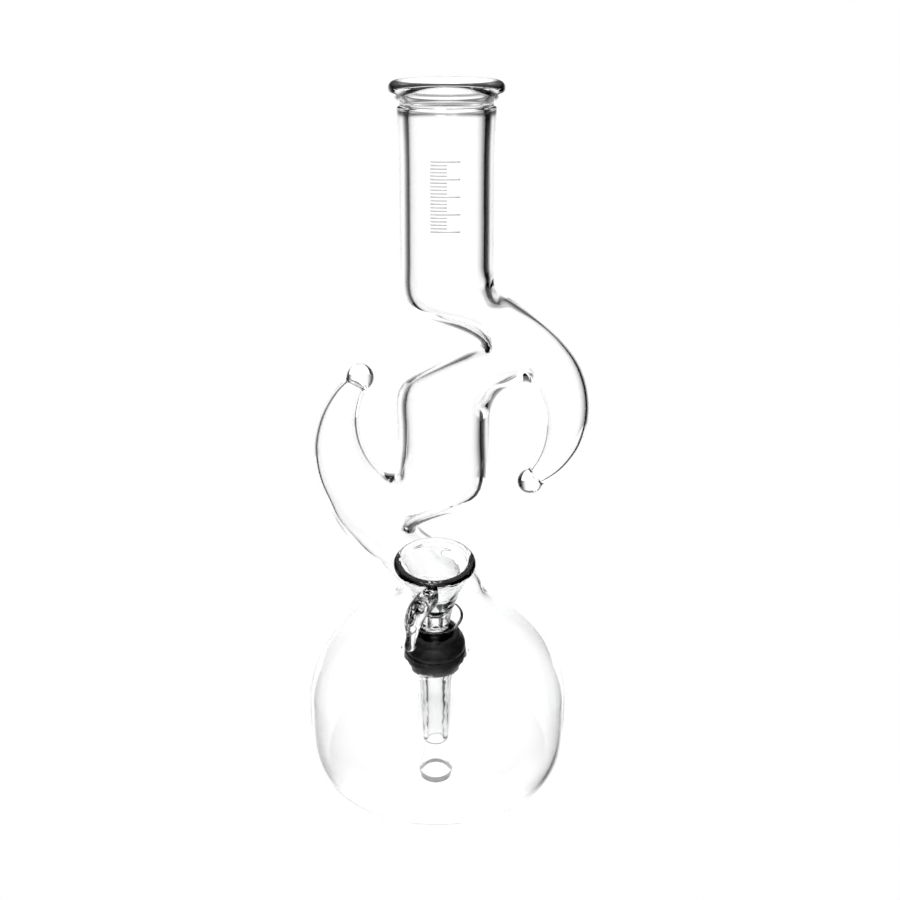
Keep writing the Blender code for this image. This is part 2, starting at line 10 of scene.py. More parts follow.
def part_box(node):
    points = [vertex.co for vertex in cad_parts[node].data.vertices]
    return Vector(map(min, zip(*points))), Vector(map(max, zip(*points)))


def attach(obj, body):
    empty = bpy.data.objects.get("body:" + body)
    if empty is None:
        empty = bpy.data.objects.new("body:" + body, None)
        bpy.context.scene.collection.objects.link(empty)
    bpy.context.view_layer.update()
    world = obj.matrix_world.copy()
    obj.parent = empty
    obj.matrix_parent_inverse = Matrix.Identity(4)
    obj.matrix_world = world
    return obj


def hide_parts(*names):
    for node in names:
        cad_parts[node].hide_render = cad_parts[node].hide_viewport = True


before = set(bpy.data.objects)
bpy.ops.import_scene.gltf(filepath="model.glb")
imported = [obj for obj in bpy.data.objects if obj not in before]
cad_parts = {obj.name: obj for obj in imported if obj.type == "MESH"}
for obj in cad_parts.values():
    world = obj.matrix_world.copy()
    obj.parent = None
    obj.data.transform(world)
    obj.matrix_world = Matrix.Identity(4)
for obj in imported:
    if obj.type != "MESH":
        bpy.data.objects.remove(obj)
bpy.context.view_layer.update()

bl_info = {
    "name": "Zig-zag glass water pipe",
    "version": (1, 0, 0),
    "blender": (4, 5, 0),
    "location": "3D View > Sidebar > Water Pipe",
    "description": "Makes a blown glass water pipe with its grommet, downstem and slide, and its table",
    "category": "Add Mesh",
}

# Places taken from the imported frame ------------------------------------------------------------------

NECK_LOW, NECK_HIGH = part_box("neck_tube")
MIDDLE_LOW, MIDDLE_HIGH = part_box("middle_tube")
FLASK_LOW, FLASK_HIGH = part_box("flask")
MOUTH_LOW, MOUTH_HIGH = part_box("mouth_ring")

TUBE_R = (NECK_HIGH[0] - NECK_LOW[0]) / 2
NECK_X = (NECK_HIGH[0] + NECK_LOW[0]) / 2
MIDDLE_X = (MIDDLE_HIGH[0] + MIDDLE_LOW[0]) / 2
NECK_BASE, NECK_TOP = NECK_LOW[2], NECK_HIGH[2]
MIDDLE_BASE, MIDDLE_TOP = MIDDLE_LOW[2], MIDDLE_HIGH[2]
LIP_R = (MOUTH_HIGH[0] - MOUTH_LOW[0]) / 2
LIP_TOP = MOUTH_HIGH[2]
FLASK_R = (FLASK_HIGH[1] - FLASK_LOW[1]) / 2 - 0.00001
FLASK_TOP = FLASK_HIGH[2]

# Walls and shapes of the blown body, in metres
TUBE_WALL = 0.0040
BEND_WALL = 0.0034
HORN_WALL = 0.0014
FLASK_WALL = 0.0014
JUNCTION_DEPTH = 0.0195
HORN_ROOT = (
    (0.0028, -0.0018, (0.0010, 0.0002), 0.0190, 0.0034),
    (0.0072, -0.0048, (0.0020, 0.0002), 0.0176, 0.0028),
    (0.0160, -0.0112, (0.0032, -0.0003), 0.0150, 0.0019),
    (0.0248, -0.0184, (0.0042, -0.0012), 0.0131, 0.0015),
)
NECK_WEB = 0.0014  # extra glass gathered at the crotch between the neck and the right horn
UPPER_WEBS = (BEND_WALL, BEND_WALL, BEND_WALL)
LOWER_WEBS = (BEND_WALL, BEND_WALL, 0.0018)
SKIN = (0.0, 0.0, 0.0)
LIP_BEAD = 0.0030
NECK_FLARE = 0.0009  # the tube opens out by this much just under the weld
BELLY_HEIGHT = 0.0473
SHOULDER_RISE = 0.0500
BASE_FLAT = 0.0200
FLASK_NECK_R = 0.0176
FLASK_NECK_X = 0.0014
BELLY_POWER = 3.24
DOME_POWER = 1.86

RIGHT_HORN = {
    "arcs": (0.0347, 0.0341, 0.0340, 0.0339, 0.0336, 0.0332),
    "angles": (34, 18, 1, -17, -34, -49),
    "radii": (0.0108, 0.0104, 0.0093, 0.0080, 0.0062, 0.0044),
    "ball": 0.0053,
}
LEFT_HORN = {
    "arcs": (0.0448, 0.0453, 0.0454, 0.0447, 0.0436, 0.0425),
    "angles": (213, 199, 185, 171, 158, 150.5),
    "radii": (0.0131, 0.0116, 0.0100, 0.0079, 0.0059, 0.0046),
    "ball": 0.0057,
}
TIP_LENGTH = 0.0035

# Port, grommet and stem
PORT = Vector((-0.0007, -0.0350, 0.0843))
STEM_TILT = math.radians(72.5)
STEM_AXIS = Vector((0, -math.cos(STEM_TILT), math.sin(STEM_TILT)))
STEM_FRAME = Matrix.Translation(PORT) @ Matrix.Rotation(math.pi / 2 - STEM_TILT, 4, "X")
SEAT_RADIUS = 0.0170
SEAT_BLEND = 0.0300
SEAT_CLEAR = 0.0060
RIM_R = 0.0134
RIM_BORE_R = 0.0112
RIM_HALF = 0.0009
RIM_MIDDLE = -0.0010
GAP = 0.0003
PRESS = 0.0002  # the rubber bears on the glass rim with no gap

# Mesh fineness
CAGE_SIDES = 24
TURNED_SIDES = 24
SMOOTH_LEVELS = 2
PORT_SIDES = 96
HANDLE_SIDES = 12
HANDLE_LEVELS = 3

# How firmly a ring is held where it was set, against the smoothing
FREE, EASED, HELD, MOULDED, FIRM = 0, 1 / 24, 1 / 12, 1 / 8, 1 / 6

# Grommet, in the stem's frame
GROMMET_R = 0.01235
GROMMET_TOP = 0.0078
GROMMET_BOTTOM = -0.0080
GROMMET_ROUNDING = 0.0040

# Slide, in the stem's frame
STEM_R = 0.00735
SLIDE_R = 0.0055
SLIDE_BORE_R = 0.0032
SLIDE_LOW = -0.0510
BOWL_R = 0.0164
BOWL_TOP = 0.0437
BOWL_SEAT = 0.0108
BOWL_RIM_R = 0.0019
BOWL_HOLE_R = 0.0020
HANDLE_R = 0.0047
HANDLE_CLEAR = STEM_R + 0.0058  # keeps the handle out past the flare and the grommet

# Etched scale
PRINT_LIFT = 0.00004
PRINT_THICKNESS = 0.00003
LINE_WIDTH = 0.00065
SHORT_LINE = 0.0068
LONG_LINE_EXTRA = 0.0052
LINES_START = -0.0066

# Table, tent and camera
TABLE_SIZE, TABLE_HEIGHT = 12.0, -0.0004
MAT_SIZE, MAT_HEIGHT = 2.0, -0.0002
TENT_RADIUS = 0.55
TENT_CENTRE = Vector((0, 0, 0.12))
LAMP_PLACE = Vector((-0.10, -0.30, 0.42))
LAMP_AIM = Vector((0, 0, 0.10))
LAMP_SIZE = (0.16, 0.10)
AIM = Vector((0.0054, 0.0, 0.1579))
CAMERA_RISE = math.radians(15.5)
CAMERA_DISTANCE = 0.763
CAMERA_LENS, CAMERA_SENSOR = 72.8, 36.0

GLASS_BODY, GROMMET_BODY, STEM_BODY, SLIDE_BODY = "glass_body", "grommet", "downstem", "slide"


# Sizes and colours that a user would change ----------------------------------------------------------


class GlassSettings(bpy.types.PropertyGroup):
    tint: bpy.props.FloatVectorProperty(
        name="Tint",
        description="Colour that the glass gives to light passing through it",
        subtype="COLOR",
        size=3,
        min=0,
        max=1,
        default=(1.0, 1.0, 1.0),
    )
    waviness: bpy.props.FloatProperty(
        name="Waviness", description="Strength of the unevenness left by blowing", min=0, max=1, default=0.05
    )
    weld_ridge: bpy.props.FloatProperty(
        name="Weld groove",
        description="Depth of the groove in the bore where two blown parts were fused",
        unit="LENGTH",
        min=0,
        max=0.001,
        default=0.0006,
    )


class StemSettings(bpy.types.PropertyGroup):
    outside: bpy.props.FloatProperty(
        name="Outside radius", description="Radius of the downstem's tube", unit="LENGTH", default=STEM_R
    )
    wall: bpy.props.FloatProperty(
        name="Wall", description="Thickness of the downstem's glass", unit="LENGTH", default=0.0012
    )
    flare: bpy.props.FloatProperty(
        name="Flare radius", description="Radius of the downstem's flared lip", unit="LENGTH", default=0.0115
    )
    low: bpy.props.FloatProperty(
        name="Lower end", description="Place of the lower end along the stem", unit="LENGTH", default=-0.0700
    )
    foot: bpy.props.FloatProperty(
        name="Flare foot", description="Where the flare starts along the stem", unit="LENGTH", default=0.0081
    )
    high: bpy.props.FloatProperty(
        name="Lip", description="Place of the lip along the stem", unit="LENGTH", default=0.0156
    )


class RubberSettings(bpy.types.PropertyGroup):
    color: bpy.props.FloatVectorProperty(
        name="Colour", description="Colour of the rubber", subtype="COLOR", size=3, min=0, max=1,
        default=(0.012, 0.012, 0.013),
    )
    grain: bpy.props.FloatProperty(
        name="Grain", description="Strength of the moulded grain", min=0, max=1, default=0.25
    )


class MarkSettings(bpy.types.PropertyGroup):
    count: bpy.props.IntProperty(name="Lines", description="Number of lines in the scale", min=2, default=21)
    pitch: bpy.props.FloatProperty(
        name="Pitch", description="Distance between two lines", unit="LENGTH", default=0.00138
    )
    base: bpy.props.FloatProperty(
        name="Lowest line", description="Height of the lowest line", unit="LENGTH", default=0.2525
    )
    color: bpy.props.FloatVectorProperty(
        name="Colour", description="Colour of the frosted print", subtype="COLOR", size=3, min=0, max=1,
        default=(0.70, 0.70, 0.71),
    )


class StudioSettings(bpy.types.PropertyGroup):
    field_light: bpy.props.FloatProperty(
        name="Light field",
        description="Brightness of the lit parts of the tent and the table",
        min=0,
        default=1.22,
    )
    key_light: bpy.props.FloatProperty(
        name="Overhead light",
        description="Power of the softbox above the front, in watts",
        min=0,
        default=0.6,
    )


SETTINGS = {
    "pipe_glass": GlassSettings,
    "pipe_stem": StemSettings,
    "pipe_rubber": RubberSettings,
    "pipe_mark": MarkSettings,
    "pipe_studio": StudioSettings,
}


# Mesh helpers ----------------------------------------------------------------------------------------


def link_piece(name, mesh):
    piece = bpy.data.objects.new(name, mesh)
    bpy.context.scene.collection.objects.link(piece)
    return piece


def settle(piece):
    """Apply an object's modifiers, so that it holds its final mesh."""
    graph = bpy.context.evaluated_depsgraph_get()
    made = bpy.data.meshes.new_from_object(piece.evaluated_get(graph))
    made.name = piece.name
    piece.modifiers.clear()
    piece.data = made
    return piece


def piece_from(name, bm):
    """A new object that holds the mesh just built."""
    mesh = bpy.data.meshes.new(name)
    bm.to_mesh(mesh)
    bm.free()
    return link_piece(name, mesh)


def subdivided(name, bm, levels=SMOOTH_LEVELS):
    piece = piece_from(name, bm)
    smooth = piece.modifiers.new("blown_surface", "SUBSURF")
    smooth.levels = smooth.render_levels = levels
    return settle(piece)


def join_rings(bm, first, second):
    """Skin two rings with quads, or with triangles where one of them is a pole."""
    count = max(len(first), len(second))
    for i in range(count):
        j = (i + 1) % count
        near = [first[i % len(first)], first[j % len(first)]]
        far = [second[j % len(second)], second[i % len(second)]]
        bm.faces.new(dict.fromkeys(near + far))


def cage_pull(sides):
    """A subdivided ring shrinks to this share of its control points' radius."""
    return (2 + math.cos(2 * math.pi / sides)) / 3


def arc(centre, radius, start, end, steps):
    angles = [math.radians(start + (end - start) * i / steps) for i in range(steps + 1)]
    return [(centre[0] + radius * math.cos(a), centre[1] + radius * math.sin(a)) for a in angles]


def offsets(across, height, *steps):
    """Profile points given as steps from one corner."""
    return [(across + out, height + up) for out, up in steps]


def ring_points(plus, minus, depth, inset=0.0):
    """Control points of one ring between two edge points in the XZ plane, from the front towards plus."""
    pull = cage_pull(CAGE_SIDES)
    centre = (plus + minus) / 2
    half = (plus - minus) / 2
    half = half * ((half.length - inset) / half.length / pull)
    reach = (depth - inset) / pull
    points = []
    for i in range(CAGE_SIDES):
        turn = 2 * math.pi * i / CAGE_SIDES
        x, z = centre + half * math.sin(turn)
        points.append(Vector((x, -reach * math.cos(turn), z)))
    return points


def round_ring(x, radius, height):
    return ring_points(Vector((x + radius, height)), Vector((x - radius, height)), radius)


def stem_ring(bm, radius, height, sides):
    """A ring of vertices round the stem's axis."""
    turns = [2 * math.pi * i / sides for i in range(sides)]
    points = [STEM_FRAME @ Vector((radius * math.cos(a), radius * math.sin(a), height)) for a in turns]
    return [bm.verts.new(point) for point in points]


def held_point(last, here, coming, hold):
    """Push a point out, square to its path, so that the smoothed line passes through where it was."""
    push = (last - 2 * here + coming) * hold
    along = coming - last
    if along.length_squared > 0:
        push -= along * (push.dot(along) / along.length_squared)
    return here - push


def hold_shape(before, rings, after, holds):
    """Hold every point of a row of rings against the smoothing."""
    chain = [before, *rings, after]
    held = []
    for k in range(1, len(chain) - 1):
        last, here, coming = chain[k - 1], chain[k], chain[k + 1]
        if last is None or coming is None:
            held.append(here)
            continue
        held.append([held_point(a, b, c, holds[k - 1]) for a, b, c in zip(last, here, coming)])
    return held


class Run:
    """A run of rings along one tube. hold is how strongly a ring is kept where it was set."""

    def __init__(self):
        self.rings = []
        self.holds = []

    def add(self, points, hold=EASED):
        self.rings.append(points)
        self.holds.append(hold)

    def add_stations(self, stations, inner):
        """Add a row of stations, each moved in by its wall when the run is a bore."""
        for plus, minus, depth, wall in stations:
            self.add(ring_points(plus, minus, depth, wall if inner else 0.0))

    def build(self, bm, start, end=None):
        """Skin the run from a ring of vertices, and on to another if one is given. Gives the last ring."""
        before = [vert.co.copy() for vert in start]
        after = [vert.co.copy() for vert in end] if end else None
        last = start
        for points in hold_shape(before, self.rings, after, self.holds):
            ring = [bm.verts.new(point) for point in points]
            join_rings(bm, last, ring)
            last = ring
        if end:
            join_rings(bm, last, end)
        return last


# Blown body ------------------------------------------------------------------------------------------


def junction(bm, centre, crotches, webs):
    """Three half-rings that share a front and a back pole, one through each crotch between two limbs."""
    half = CAGE_SIDES // 2
    pull = cage_pull(CAGE_SIDES)
    depth = (JUNCTION_DEPTH - min(webs)) / pull
    front = bm.verts.new((centre.x, -depth, centre.y))
    back = bm.verts.new((centre.x, depth, centre.y))
    chains = []
    for crotch, web in zip(crotches, webs):
        reach = crotch - centre
        reach = reach * ((reach.length - web) / reach.length / pull)
        chain = []
        for i in range(1, half):
            turn = math.pi * i / half
            x, z = centre + reach * math.sin(turn)
            chain.append(bm.verts.new((x, -depth * math.cos(turn), z)))
        chains.append(chain)

    def way(plus, minus):
        return [front, *chains[plus], back, *reversed(chains[minus])]

    return way


def upper_bend_shape(web):
    """Crotches and stations of the bend that folds the neck back over the middle tube."""
    base, top = MIDDLE_TOP + GAP, NECK_BASE - GAP
    left, right = MIDDLE_X - TUBE_R, MIDDLE_X + TUBE_R
    neck_left, neck_right = NECK_X - TUBE_R, NECK_X + TUBE_R
    crotch_neck = Vector((neck_right + 0.0020, top - 0.0083 - web))
    crotch_fold = Vector((neck_right - 0.0034, base + 0.0342))
    crotch_horn = Vector((neck_right + 0.0118, base + 0.0174))
    centre = Vector((neck_right + 0.0022, base + 0.0350))

    fold_in = Vector((neck_left + 0.0012, top - 0.0168))
    neck = []
    for share, lift, out in ((0.80, 0.0010, 0.0013), (0.48, 0.0026, 0.0006), (0.18, 0.0046, 0.0002)):
        edge = fold_in.lerp(crotch_fold, share) + Vector((0, 0.0016))
        neck.append((Vector((neck_right + out, crotch_neck.y + lift)), edge, TUBE_R, BEND_WALL))
    foot_left = fold_in + Vector((-0.0006, 0.0040))
    neck.append((Vector((neck_right, crotch_neck.y + web + 0.0064)), foot_left, TUBE_R, BEND_WALL))
    neck.append((Vector((neck_right, top)), Vector((neck_left, top)), TUBE_R, TUBE_WALL))

    fold_out = Vector((left + 0.0014, base + 0.0166))
    corner = Vector((crotch_horn.x, base + 0.0022))
    reach = crotch_horn.x - right
    climb = crotch_horn.y - corner.y
    middle = []
    for share, turn in ((0.86, 11), (0.66, 26), (0.44, 44), (0.20, 63), (-0.06, 82)):
        edge = fold_out.lerp(crotch_fold, share) - Vector((0, 0.0006))
        angle = math.radians(turn)
        inner = corner + Vector((-reach * math.sin(angle), climb * math.cos(angle)))
        middle.append((inner, edge, TUBE_R, BEND_WALL if share > 0 else TUBE_WALL))
    middle.append((Vector((right, base)), Vector((left, base)), TUBE_R, TUBE_WALL))

    horn = []
    for out, drop, rise, depth, wall in HORN_ROOT:
        above = crotch_neck + Vector((out, drop + web * min(1, out / 0.0160)))
        below = crotch_horn + Vector(rise)
        horn.append((above, below, depth, wall))
    arc_centre = Vector((neck_right - 0.0032, base + 0.0014))
    return centre, (crotch_neck, crotch_fold, crotch_horn), neck, middle, horn, arc_centre


def lower_bend_shape():
    """Crotches and stations of the bend that turns the middle tube back down into the flask."""
    base, top = FLASK_TOP + GAP, MIDDLE_BASE - GAP
    left, right = MIDDLE_X - TUBE_R, MIDDLE_X + TUBE_R
    foot_left, foot_right = FLASK_NECK_X - FLASK_NECK_R, FLASK_NECK_X + FLASK_NECK_R
    crotch_horn = Vector((left - 0.0010, top - 0.0112))
    crotch_fold = Vector((left + 0.0050, base + 0.0262))
    outer = Vector((left - 0.0216, base + 0.0218))
    centre = Vector((left - 0.0050, base + 0.0320))

    fold_in = Vector((right - 0.0012, top - 0.0220))
    middle = []
    for share, lift in ((0.78, 0.0014), (0.46, 0.0032), (0.16, 0.0054)):
        edge = fold_in.lerp(crotch_fold, share) + Vector((0, 0.0008))
        middle.append((edge, Vector((left - 0.0002, crotch_horn.y + lift)), TUBE_R, BEND_WALL))
    foot_right_edge = fold_in + Vector((0.0008, 0.0040))
    middle.append((foot_right_edge, Vector((left, crotch_horn.y + 0.0080)), TUBE_R, BEND_WALL))
    middle.append((Vector((right, top)), Vector((left, top)), TUBE_R, TUBE_WALL))

    foot = []
    fold_out = Vector((foot_right - 0.0026, base + 0.0060))
    for share, depth in ((0.76, 0.0192), (0.44, 0.0186), (0.14, 0.0180)):
        plus = fold_out.lerp(crotch_fold, share) - Vector((0, 0.0004))
        minus = Vector((foot_left - 0.0036, base + 0.0056)).lerp(outer, share)
        foot.append((plus, minus, depth, 0.0022))
    low_right = Vector((foot_right - 0.0006, base + 0.0030))
    foot.append((low_right, Vector((foot_left - 0.0008, base + 0.0018)), FLASK_NECK_R, 0.0020))
    foot.append((Vector((foot_right, base)), Vector((foot_left, base)), FLASK_NECK_R, FLASK_WALL))

    horn = [(outer + Vector((-0.0050, 0.0070)), crotch_horn + Vector((-0.0030, 0.0004)), 0.0160, HORN_WALL)]
    arc_centre = Vector((left + 0.0198, base + 0.0665))
    return centre, (crotch_horn, crotch_fold, outer), middle, foot, horn, arc_centre


def heading(angle):
    """The way out from a horn's arc and the way on along it, at an angle in degrees."""
    outward = Vector((math.cos(math.radians(angle)), math.sin(math.radians(angle))))
    return outward, Vector((outward.y, -outward.x))


def horn_run(stations, arc_centre, horn, inner):
    """The rings of a horn: round stations along its arc, then its solid ball, or the end of its bore."""
    run = Run()
    run.add_stations(stations, inner)

    def across(angle, reach, radius, ahead=0.0, hold=EASED):
        outward, forward = heading(angle)
        middle = arc_centre + outward * reach + forward * ahead
        run.add(ring_points(middle + outward * radius, middle - outward * radius, radius), hold)
        return middle

    inset = HORN_WALL if inner else 0.0
    stops = list(zip(horn["angles"], horn["arcs"], horn["radii"]))
    for first, second in zip(stops, stops[1:]):
        across(*first[:2], first[2] - inset, hold=HELD)
        angle, reach, radius = ((a + b) / 2 for a, b in zip(first, second))
        across(angle, reach, radius - inset, hold=FREE)
    across(*stops[-1][:2], stops[-1][2] - inset)
    (end_angle, end_reach, end_radius), ball = stops[-1], horn["ball"]
    if inner:
        bore = end_radius - inset
        for ahead, share in ((0.0008, 0.92), (0.0016, 0.62), (0.0019, 0.25)):
            across(end_angle, end_reach, bore * share, ahead, FIRM)
        return run, across(end_angle, end_reach, 0.0001, 0.0020, FREE)
    start = math.degrees(math.acos(min(1, (TIP_LENGTH - 0.0010) / ball)))
    polar = [start + (172 - start) * i / 7 for i in range(8)]
    for angle in polar:
        turn = math.radians(angle)
        across(end_angle, end_reach, ball * math.sin(turn), TIP_LENGTH - ball * math.cos(turn), FIRM)
    outward, forward = heading(end_angle)
    return run, arc_centre + outward * end_reach + forward * (TIP_LENGTH + ball)


def close_horn(bm, horn, start):
    """Build a horn's run and close it at its pole."""
    run, pole = horn
    last = run.build(bm, start)
    join_rings(bm, last, [bm.verts.new((pole.x, 0, pole.y))])


def power_curve(across, reach, rise, power):
    return rise * (1 - min(1, across / reach) ** power) ** (1 / power)


def flask_outline():
    """The outside of the flask from the edge of the flat base to the top of its short neck."""
    sink = BELLY_HEIGHT - power_curve(BASE_FLAT, FLASK_R, BELLY_HEIGHT, BELLY_POWER)
    points = []
    for angle in (0, 10, 20, 30, 40, 50, 60, 70, 80):
        across = BASE_FLAT + (FLASK_R - BASE_FLAT) * math.sin(math.radians(angle)) ** 0.8
        height = BELLY_HEIGHT - power_curve(across, FLASK_R, BELLY_HEIGHT, BELLY_POWER)
        points.append((across, (height - sink) * BELLY_HEIGHT / (BELLY_HEIGHT - sink)))
    shoulder_end = FLASK_NECK_R + 0.0125
    last = math.acos((shoulder_end / FLASK_R) ** (DOME_POWER / 2))
    for i in range(11):
        turn = last * i / 10
        across = FLASK_R * math.cos(turn) ** (2 / DOME_POWER)
        points.append((across, BELLY_HEIGHT + SHOULDER_RISE * math.sin(turn) ** (2 / DOME_POWER)))
    foot = points[-1][1]
    climb = FLASK_TOP - foot
    for across, share in ((0.0077, 0.26), (0.0038, 0.50), (0.0012, 0.76)):
        points.append((FLASK_NECK_R + across, foot + climb * share))
    points.append((FLASK_NECK_R, FLASK_TOP))
    return points


def inset_outline(points, wall):
    """The same outline moved in by the wall, square to itself."""
    inner = []
    for i, point in enumerate(points):
        before = Vector(points[max(i - 1, 0)])
        after = Vector(points[min(i + 1, len(points) - 1)])
        along = (after - before).normalized()
        inner.append(Vector(point) + Vector((-along.y, along.x)) * wall)
    inner[0] = Vector((points[0][0] - wall * 0.4, wall))
    inner[-1] = Vector((points[-1][0] - wall, points[-1][1]))
    return inner


def smooth_step(value):
    value = min(1, max(0, value))
    return value * value * (3 - 2 * value)


def neck_lean(height):
    start = BELLY_HEIGHT + SHOULDER_RISE * 0.6
    return FLASK_NECK_X * smooth_step((height - start) / (FLASK_TOP - start))


def add_flask(bm, run, start, inner):
    """Carry the lower bend's foot on down the flask to its base, and close it there."""
    points = flask_outline()
    if inner:
        points = inset_outline(points, FLASK_WALL)
    for across, height in reversed(points[:-1]):
        run.add(round_ring(neck_lean(height), across, height), FIRM)
    for share in (0.66, 0.33):
        run.add(round_ring(0.0, points[0][0] * share, points[0][1]), FREE)
    last = run.build(bm, start)
    join_rings(bm, last, [bm.verts.new((0, 0, points[0][1]))])


def mouth_points(inner, ridge):
    """Rings above the neck: the weld, the flare and the rolled bead, or the bore inside them."""
    bead = (LIP_R - LIP_BEAD, LIP_TOP - LIP_BEAD)
    bore = TUBE_R - TUBE_WALL
    if inner:
        points = offsets(bore, NECK_TOP, (0, -0.0010), (0, -0.0003), (ridge, 0), (0, 0.0003), (0, 0.0010))
        points += offsets(bore, NECK_TOP, (0, 0.0037), (ridge * 0.5, 0.0040), (0.0001, 0.0044))
        points += offsets(bore, NECK_TOP, (0.0016, 0.0064))
        return points
    points = offsets(TUBE_R + NECK_FLARE, NECK_TOP, (0, -0.0006), (-0.0001, 0), (-0.0008, 0.0004))
    points += offsets(TUBE_R, NECK_TOP, (-0.0001, 0.0010), (0, 0.0018), (0.0010, 0.0028))
    return points + arc(bead, LIP_BEAD, -50, 150, 9)


def neck_run(stations, inner, ridge):
    """Up the neck from the upper bend to the rolled bead, or to the bore's edge inside it."""
    run = Run()
    run.add_stations(stations, inner)
    radius = TUBE_R - TUBE_WALL if inner else TUBE_R
    for share in (0.08, 0.25, 0.5, 0.68, 0.80, 0.90, 0.96):
        opened = NECK_FLARE * smooth_step((share - 0.72) / 0.28) * (0.35 if inner else 1.0)
        run.add(round_ring(NECK_X, radius + opened, NECK_BASE + (NECK_TOP - NECK_BASE) * share), FREE)
    for across, height in mouth_points(inner, ridge):
        run.add(round_ring(NECK_X, across, height), FIRM)
    return run


def middle_run(upper, lower, inner):
    """From the upper bend's way out, down the middle tube, to the lower bend's way in."""
    run = Run()
    run.add_stations(upper, inner)
    radius = TUBE_R - TUBE_WALL if inner else TUBE_R
    run.add(round_ring(MIDDLE_X, radius, (MIDDLE_BASE + MIDDLE_TOP) / 2), FREE)
    run.add_stations(reversed(lower), inner)
    return run


def press_seat(bm):
    """Press the flask's shoulder flat round the port, square to the stem."""
    bm.normal_update()
    middle = Vector((0, 0, BELLY_HEIGHT))
    for vert in bm.verts:
        if vert.co.z > FLASK_TOP or vert.co.y > 0:
            continue
        offset = vert.co - PORT
        along = offset.dot(STEM_AXIS)
        across = (offset - STEM_AXIS * along).length
        if across > SEAT_BLEND or along < -FLASK_R:
            continue
        side = 1 if vert.normal.dot(vert.co - middle) > 0 else -1
        target = RIM_MIDDLE + side * FLASK_WALL / 2
        share = smooth_step((SEAT_BLEND - across) / (SEAT_BLEND - SEAT_RADIUS))
        share *= smooth_step((FLASK_TOP - vert.co.z) / SEAT_CLEAR)
        vert.co += STEM_AXIS * (target - along) * share


def open_port(bm):
    """Cut the flat seat away inside the rim, and turn the thick fire-polished rim into the opening."""
    clear = RIM_R + 0.0011
    inward = STEM_FRAME.inverted()
    doomed = []
    for face in bm.faces:
        place = inward @ face.calc_center_median()
        if abs(place.z) < 0.006 and math.hypot(place.x, place.y) < clear:
            doomed.append(face)
    bmesh.ops.delete(bm, geom=doomed, context="FACES")
    edges = [edge for edge in bm.edges if len(edge.link_faces) == 1]
    outer_edges = [edge for edge in edges if (inward @ edge.verts[0].co).z > RIM_MIDDLE]
    inner_edges = [edge for edge in edges if edge not in set(outer_edges)]

    middle = RIM_MIDDLE
    face = middle + FLASK_WALL / 2
    profile = [(clear - 0.0004, face), (RIM_R + 0.0002, face + 0.0001)]
    profile += [(RIM_R - 0.0004, middle + RIM_HALF - 0.0001)]
    profile += [(RIM_R - 0.0010, middle + RIM_HALF), (RIM_BORE_R + RIM_HALF, middle + RIM_HALF)]
    profile += arc((RIM_BORE_R + RIM_HALF, middle), RIM_HALF, 90, 180, 6)[1:]
    profile += [(across, 2 * middle - height) for across, height in reversed(profile[:-1])]
    rings = [stem_ring(bm, across, height, PORT_SIDES) for across, height in profile]
    for first, second in zip(rings, rings[1:]):
        join_rings(bm, first, second)
    for ring, hole in ((rings[0], outer_edges), (rings[-1], inner_edges)):
        loop = [bm.edges.get((ring[i], ring[(i + 1) % PORT_SIDES])) for i in range(PORT_SIDES)]
        bmesh.ops.triangle_fill(bm, use_beauty=True, edges=hole + loop, normal=STEM_AXIS)


def make_glass_body(settings):
    bm = bmesh.new()
    mouths = []
    for inner in (False, True):
        web = NECK_WEB if inner else 0.0
        centre, crotches, neck, upper_middle, right_stations, right_centre = upper_bend_shape(web)
        upper_way = junction(bm, centre, crotches, UPPER_WEBS if inner else SKIN)
        centre, crotches, lower_middle, foot, left_stations, left_centre = lower_bend_shape()
        lower_way = junction(bm, centre, crotches, LOWER_WEBS if inner else SKIN)
        mouths.append(neck_run(neck, inner, settings.weld_ridge).build(bm, upper_way(0, 1)))
        middle_run(upper_middle, lower_middle, inner).build(bm, upper_way(2, 1), lower_way(1, 0))
        close_horn(bm, horn_run(right_stations, right_centre, RIGHT_HORN, inner), upper_way(0, 2))
        close_horn(bm, horn_run(left_stations, left_centre, LEFT_HORN, inner), lower_way(2, 0))
        run = Run()
        run.add_stations(foot, inner)
        add_flask(bm, run, lower_way(1, 2), inner)
    join_rings(bm, mouths[0], mouths[1])
    bmesh.ops.recalc_face_normals(bm, faces=bm.faces)
    piece = subdivided("blown_glass_body", bm)

    bm = bmesh.new()
    bm.from_mesh(piece.data)
    press_seat(bm)
    open_port(bm)
    for vert in bm.verts:
        vert.co.z = max(vert.co.z, 0.0)
    bmesh.ops.triangulate(bm, faces=[face for face in bm.faces if len(face.verts) > 4])
    bmesh.ops.recalc_face_normals(bm, faces=bm.faces)
    bm.to_mesh(piece.data)
    bm.free()
    piece.data.shade_smooth()
    piece.data.set_sharp_from_angle(angle=math.radians(60))
    return piece


# Turned pieces in the stem's frame -------------------------------------------------------------------


def turned(name, profile, hold=FIRM):
    """Turn a closed profile of (radius, height) points into a smooth ring-shaped solid."""
    bm = bmesh.new()
    pull = cage_pull(TURNED_SIDES)
    count = len(profile)
    rings = []
    for i in range(count):
        last, here, coming = (Vector(profile[k % count]) for k in (i - 1, i, i + 1))
        held = held_point(last, here, coming, hold)
        rings.append(stem_ring(bm, held.x / pull, held.y, TURNED_SIDES))
    for i in range(count):
        join_rings(bm, rings[i], rings[(i + 1) % count])
    bmesh.ops.recalc_face_normals(bm, faces=bm.faces)
    piece = subdivided(name, bm)
    piece.data.shade_smooth()
    return piece


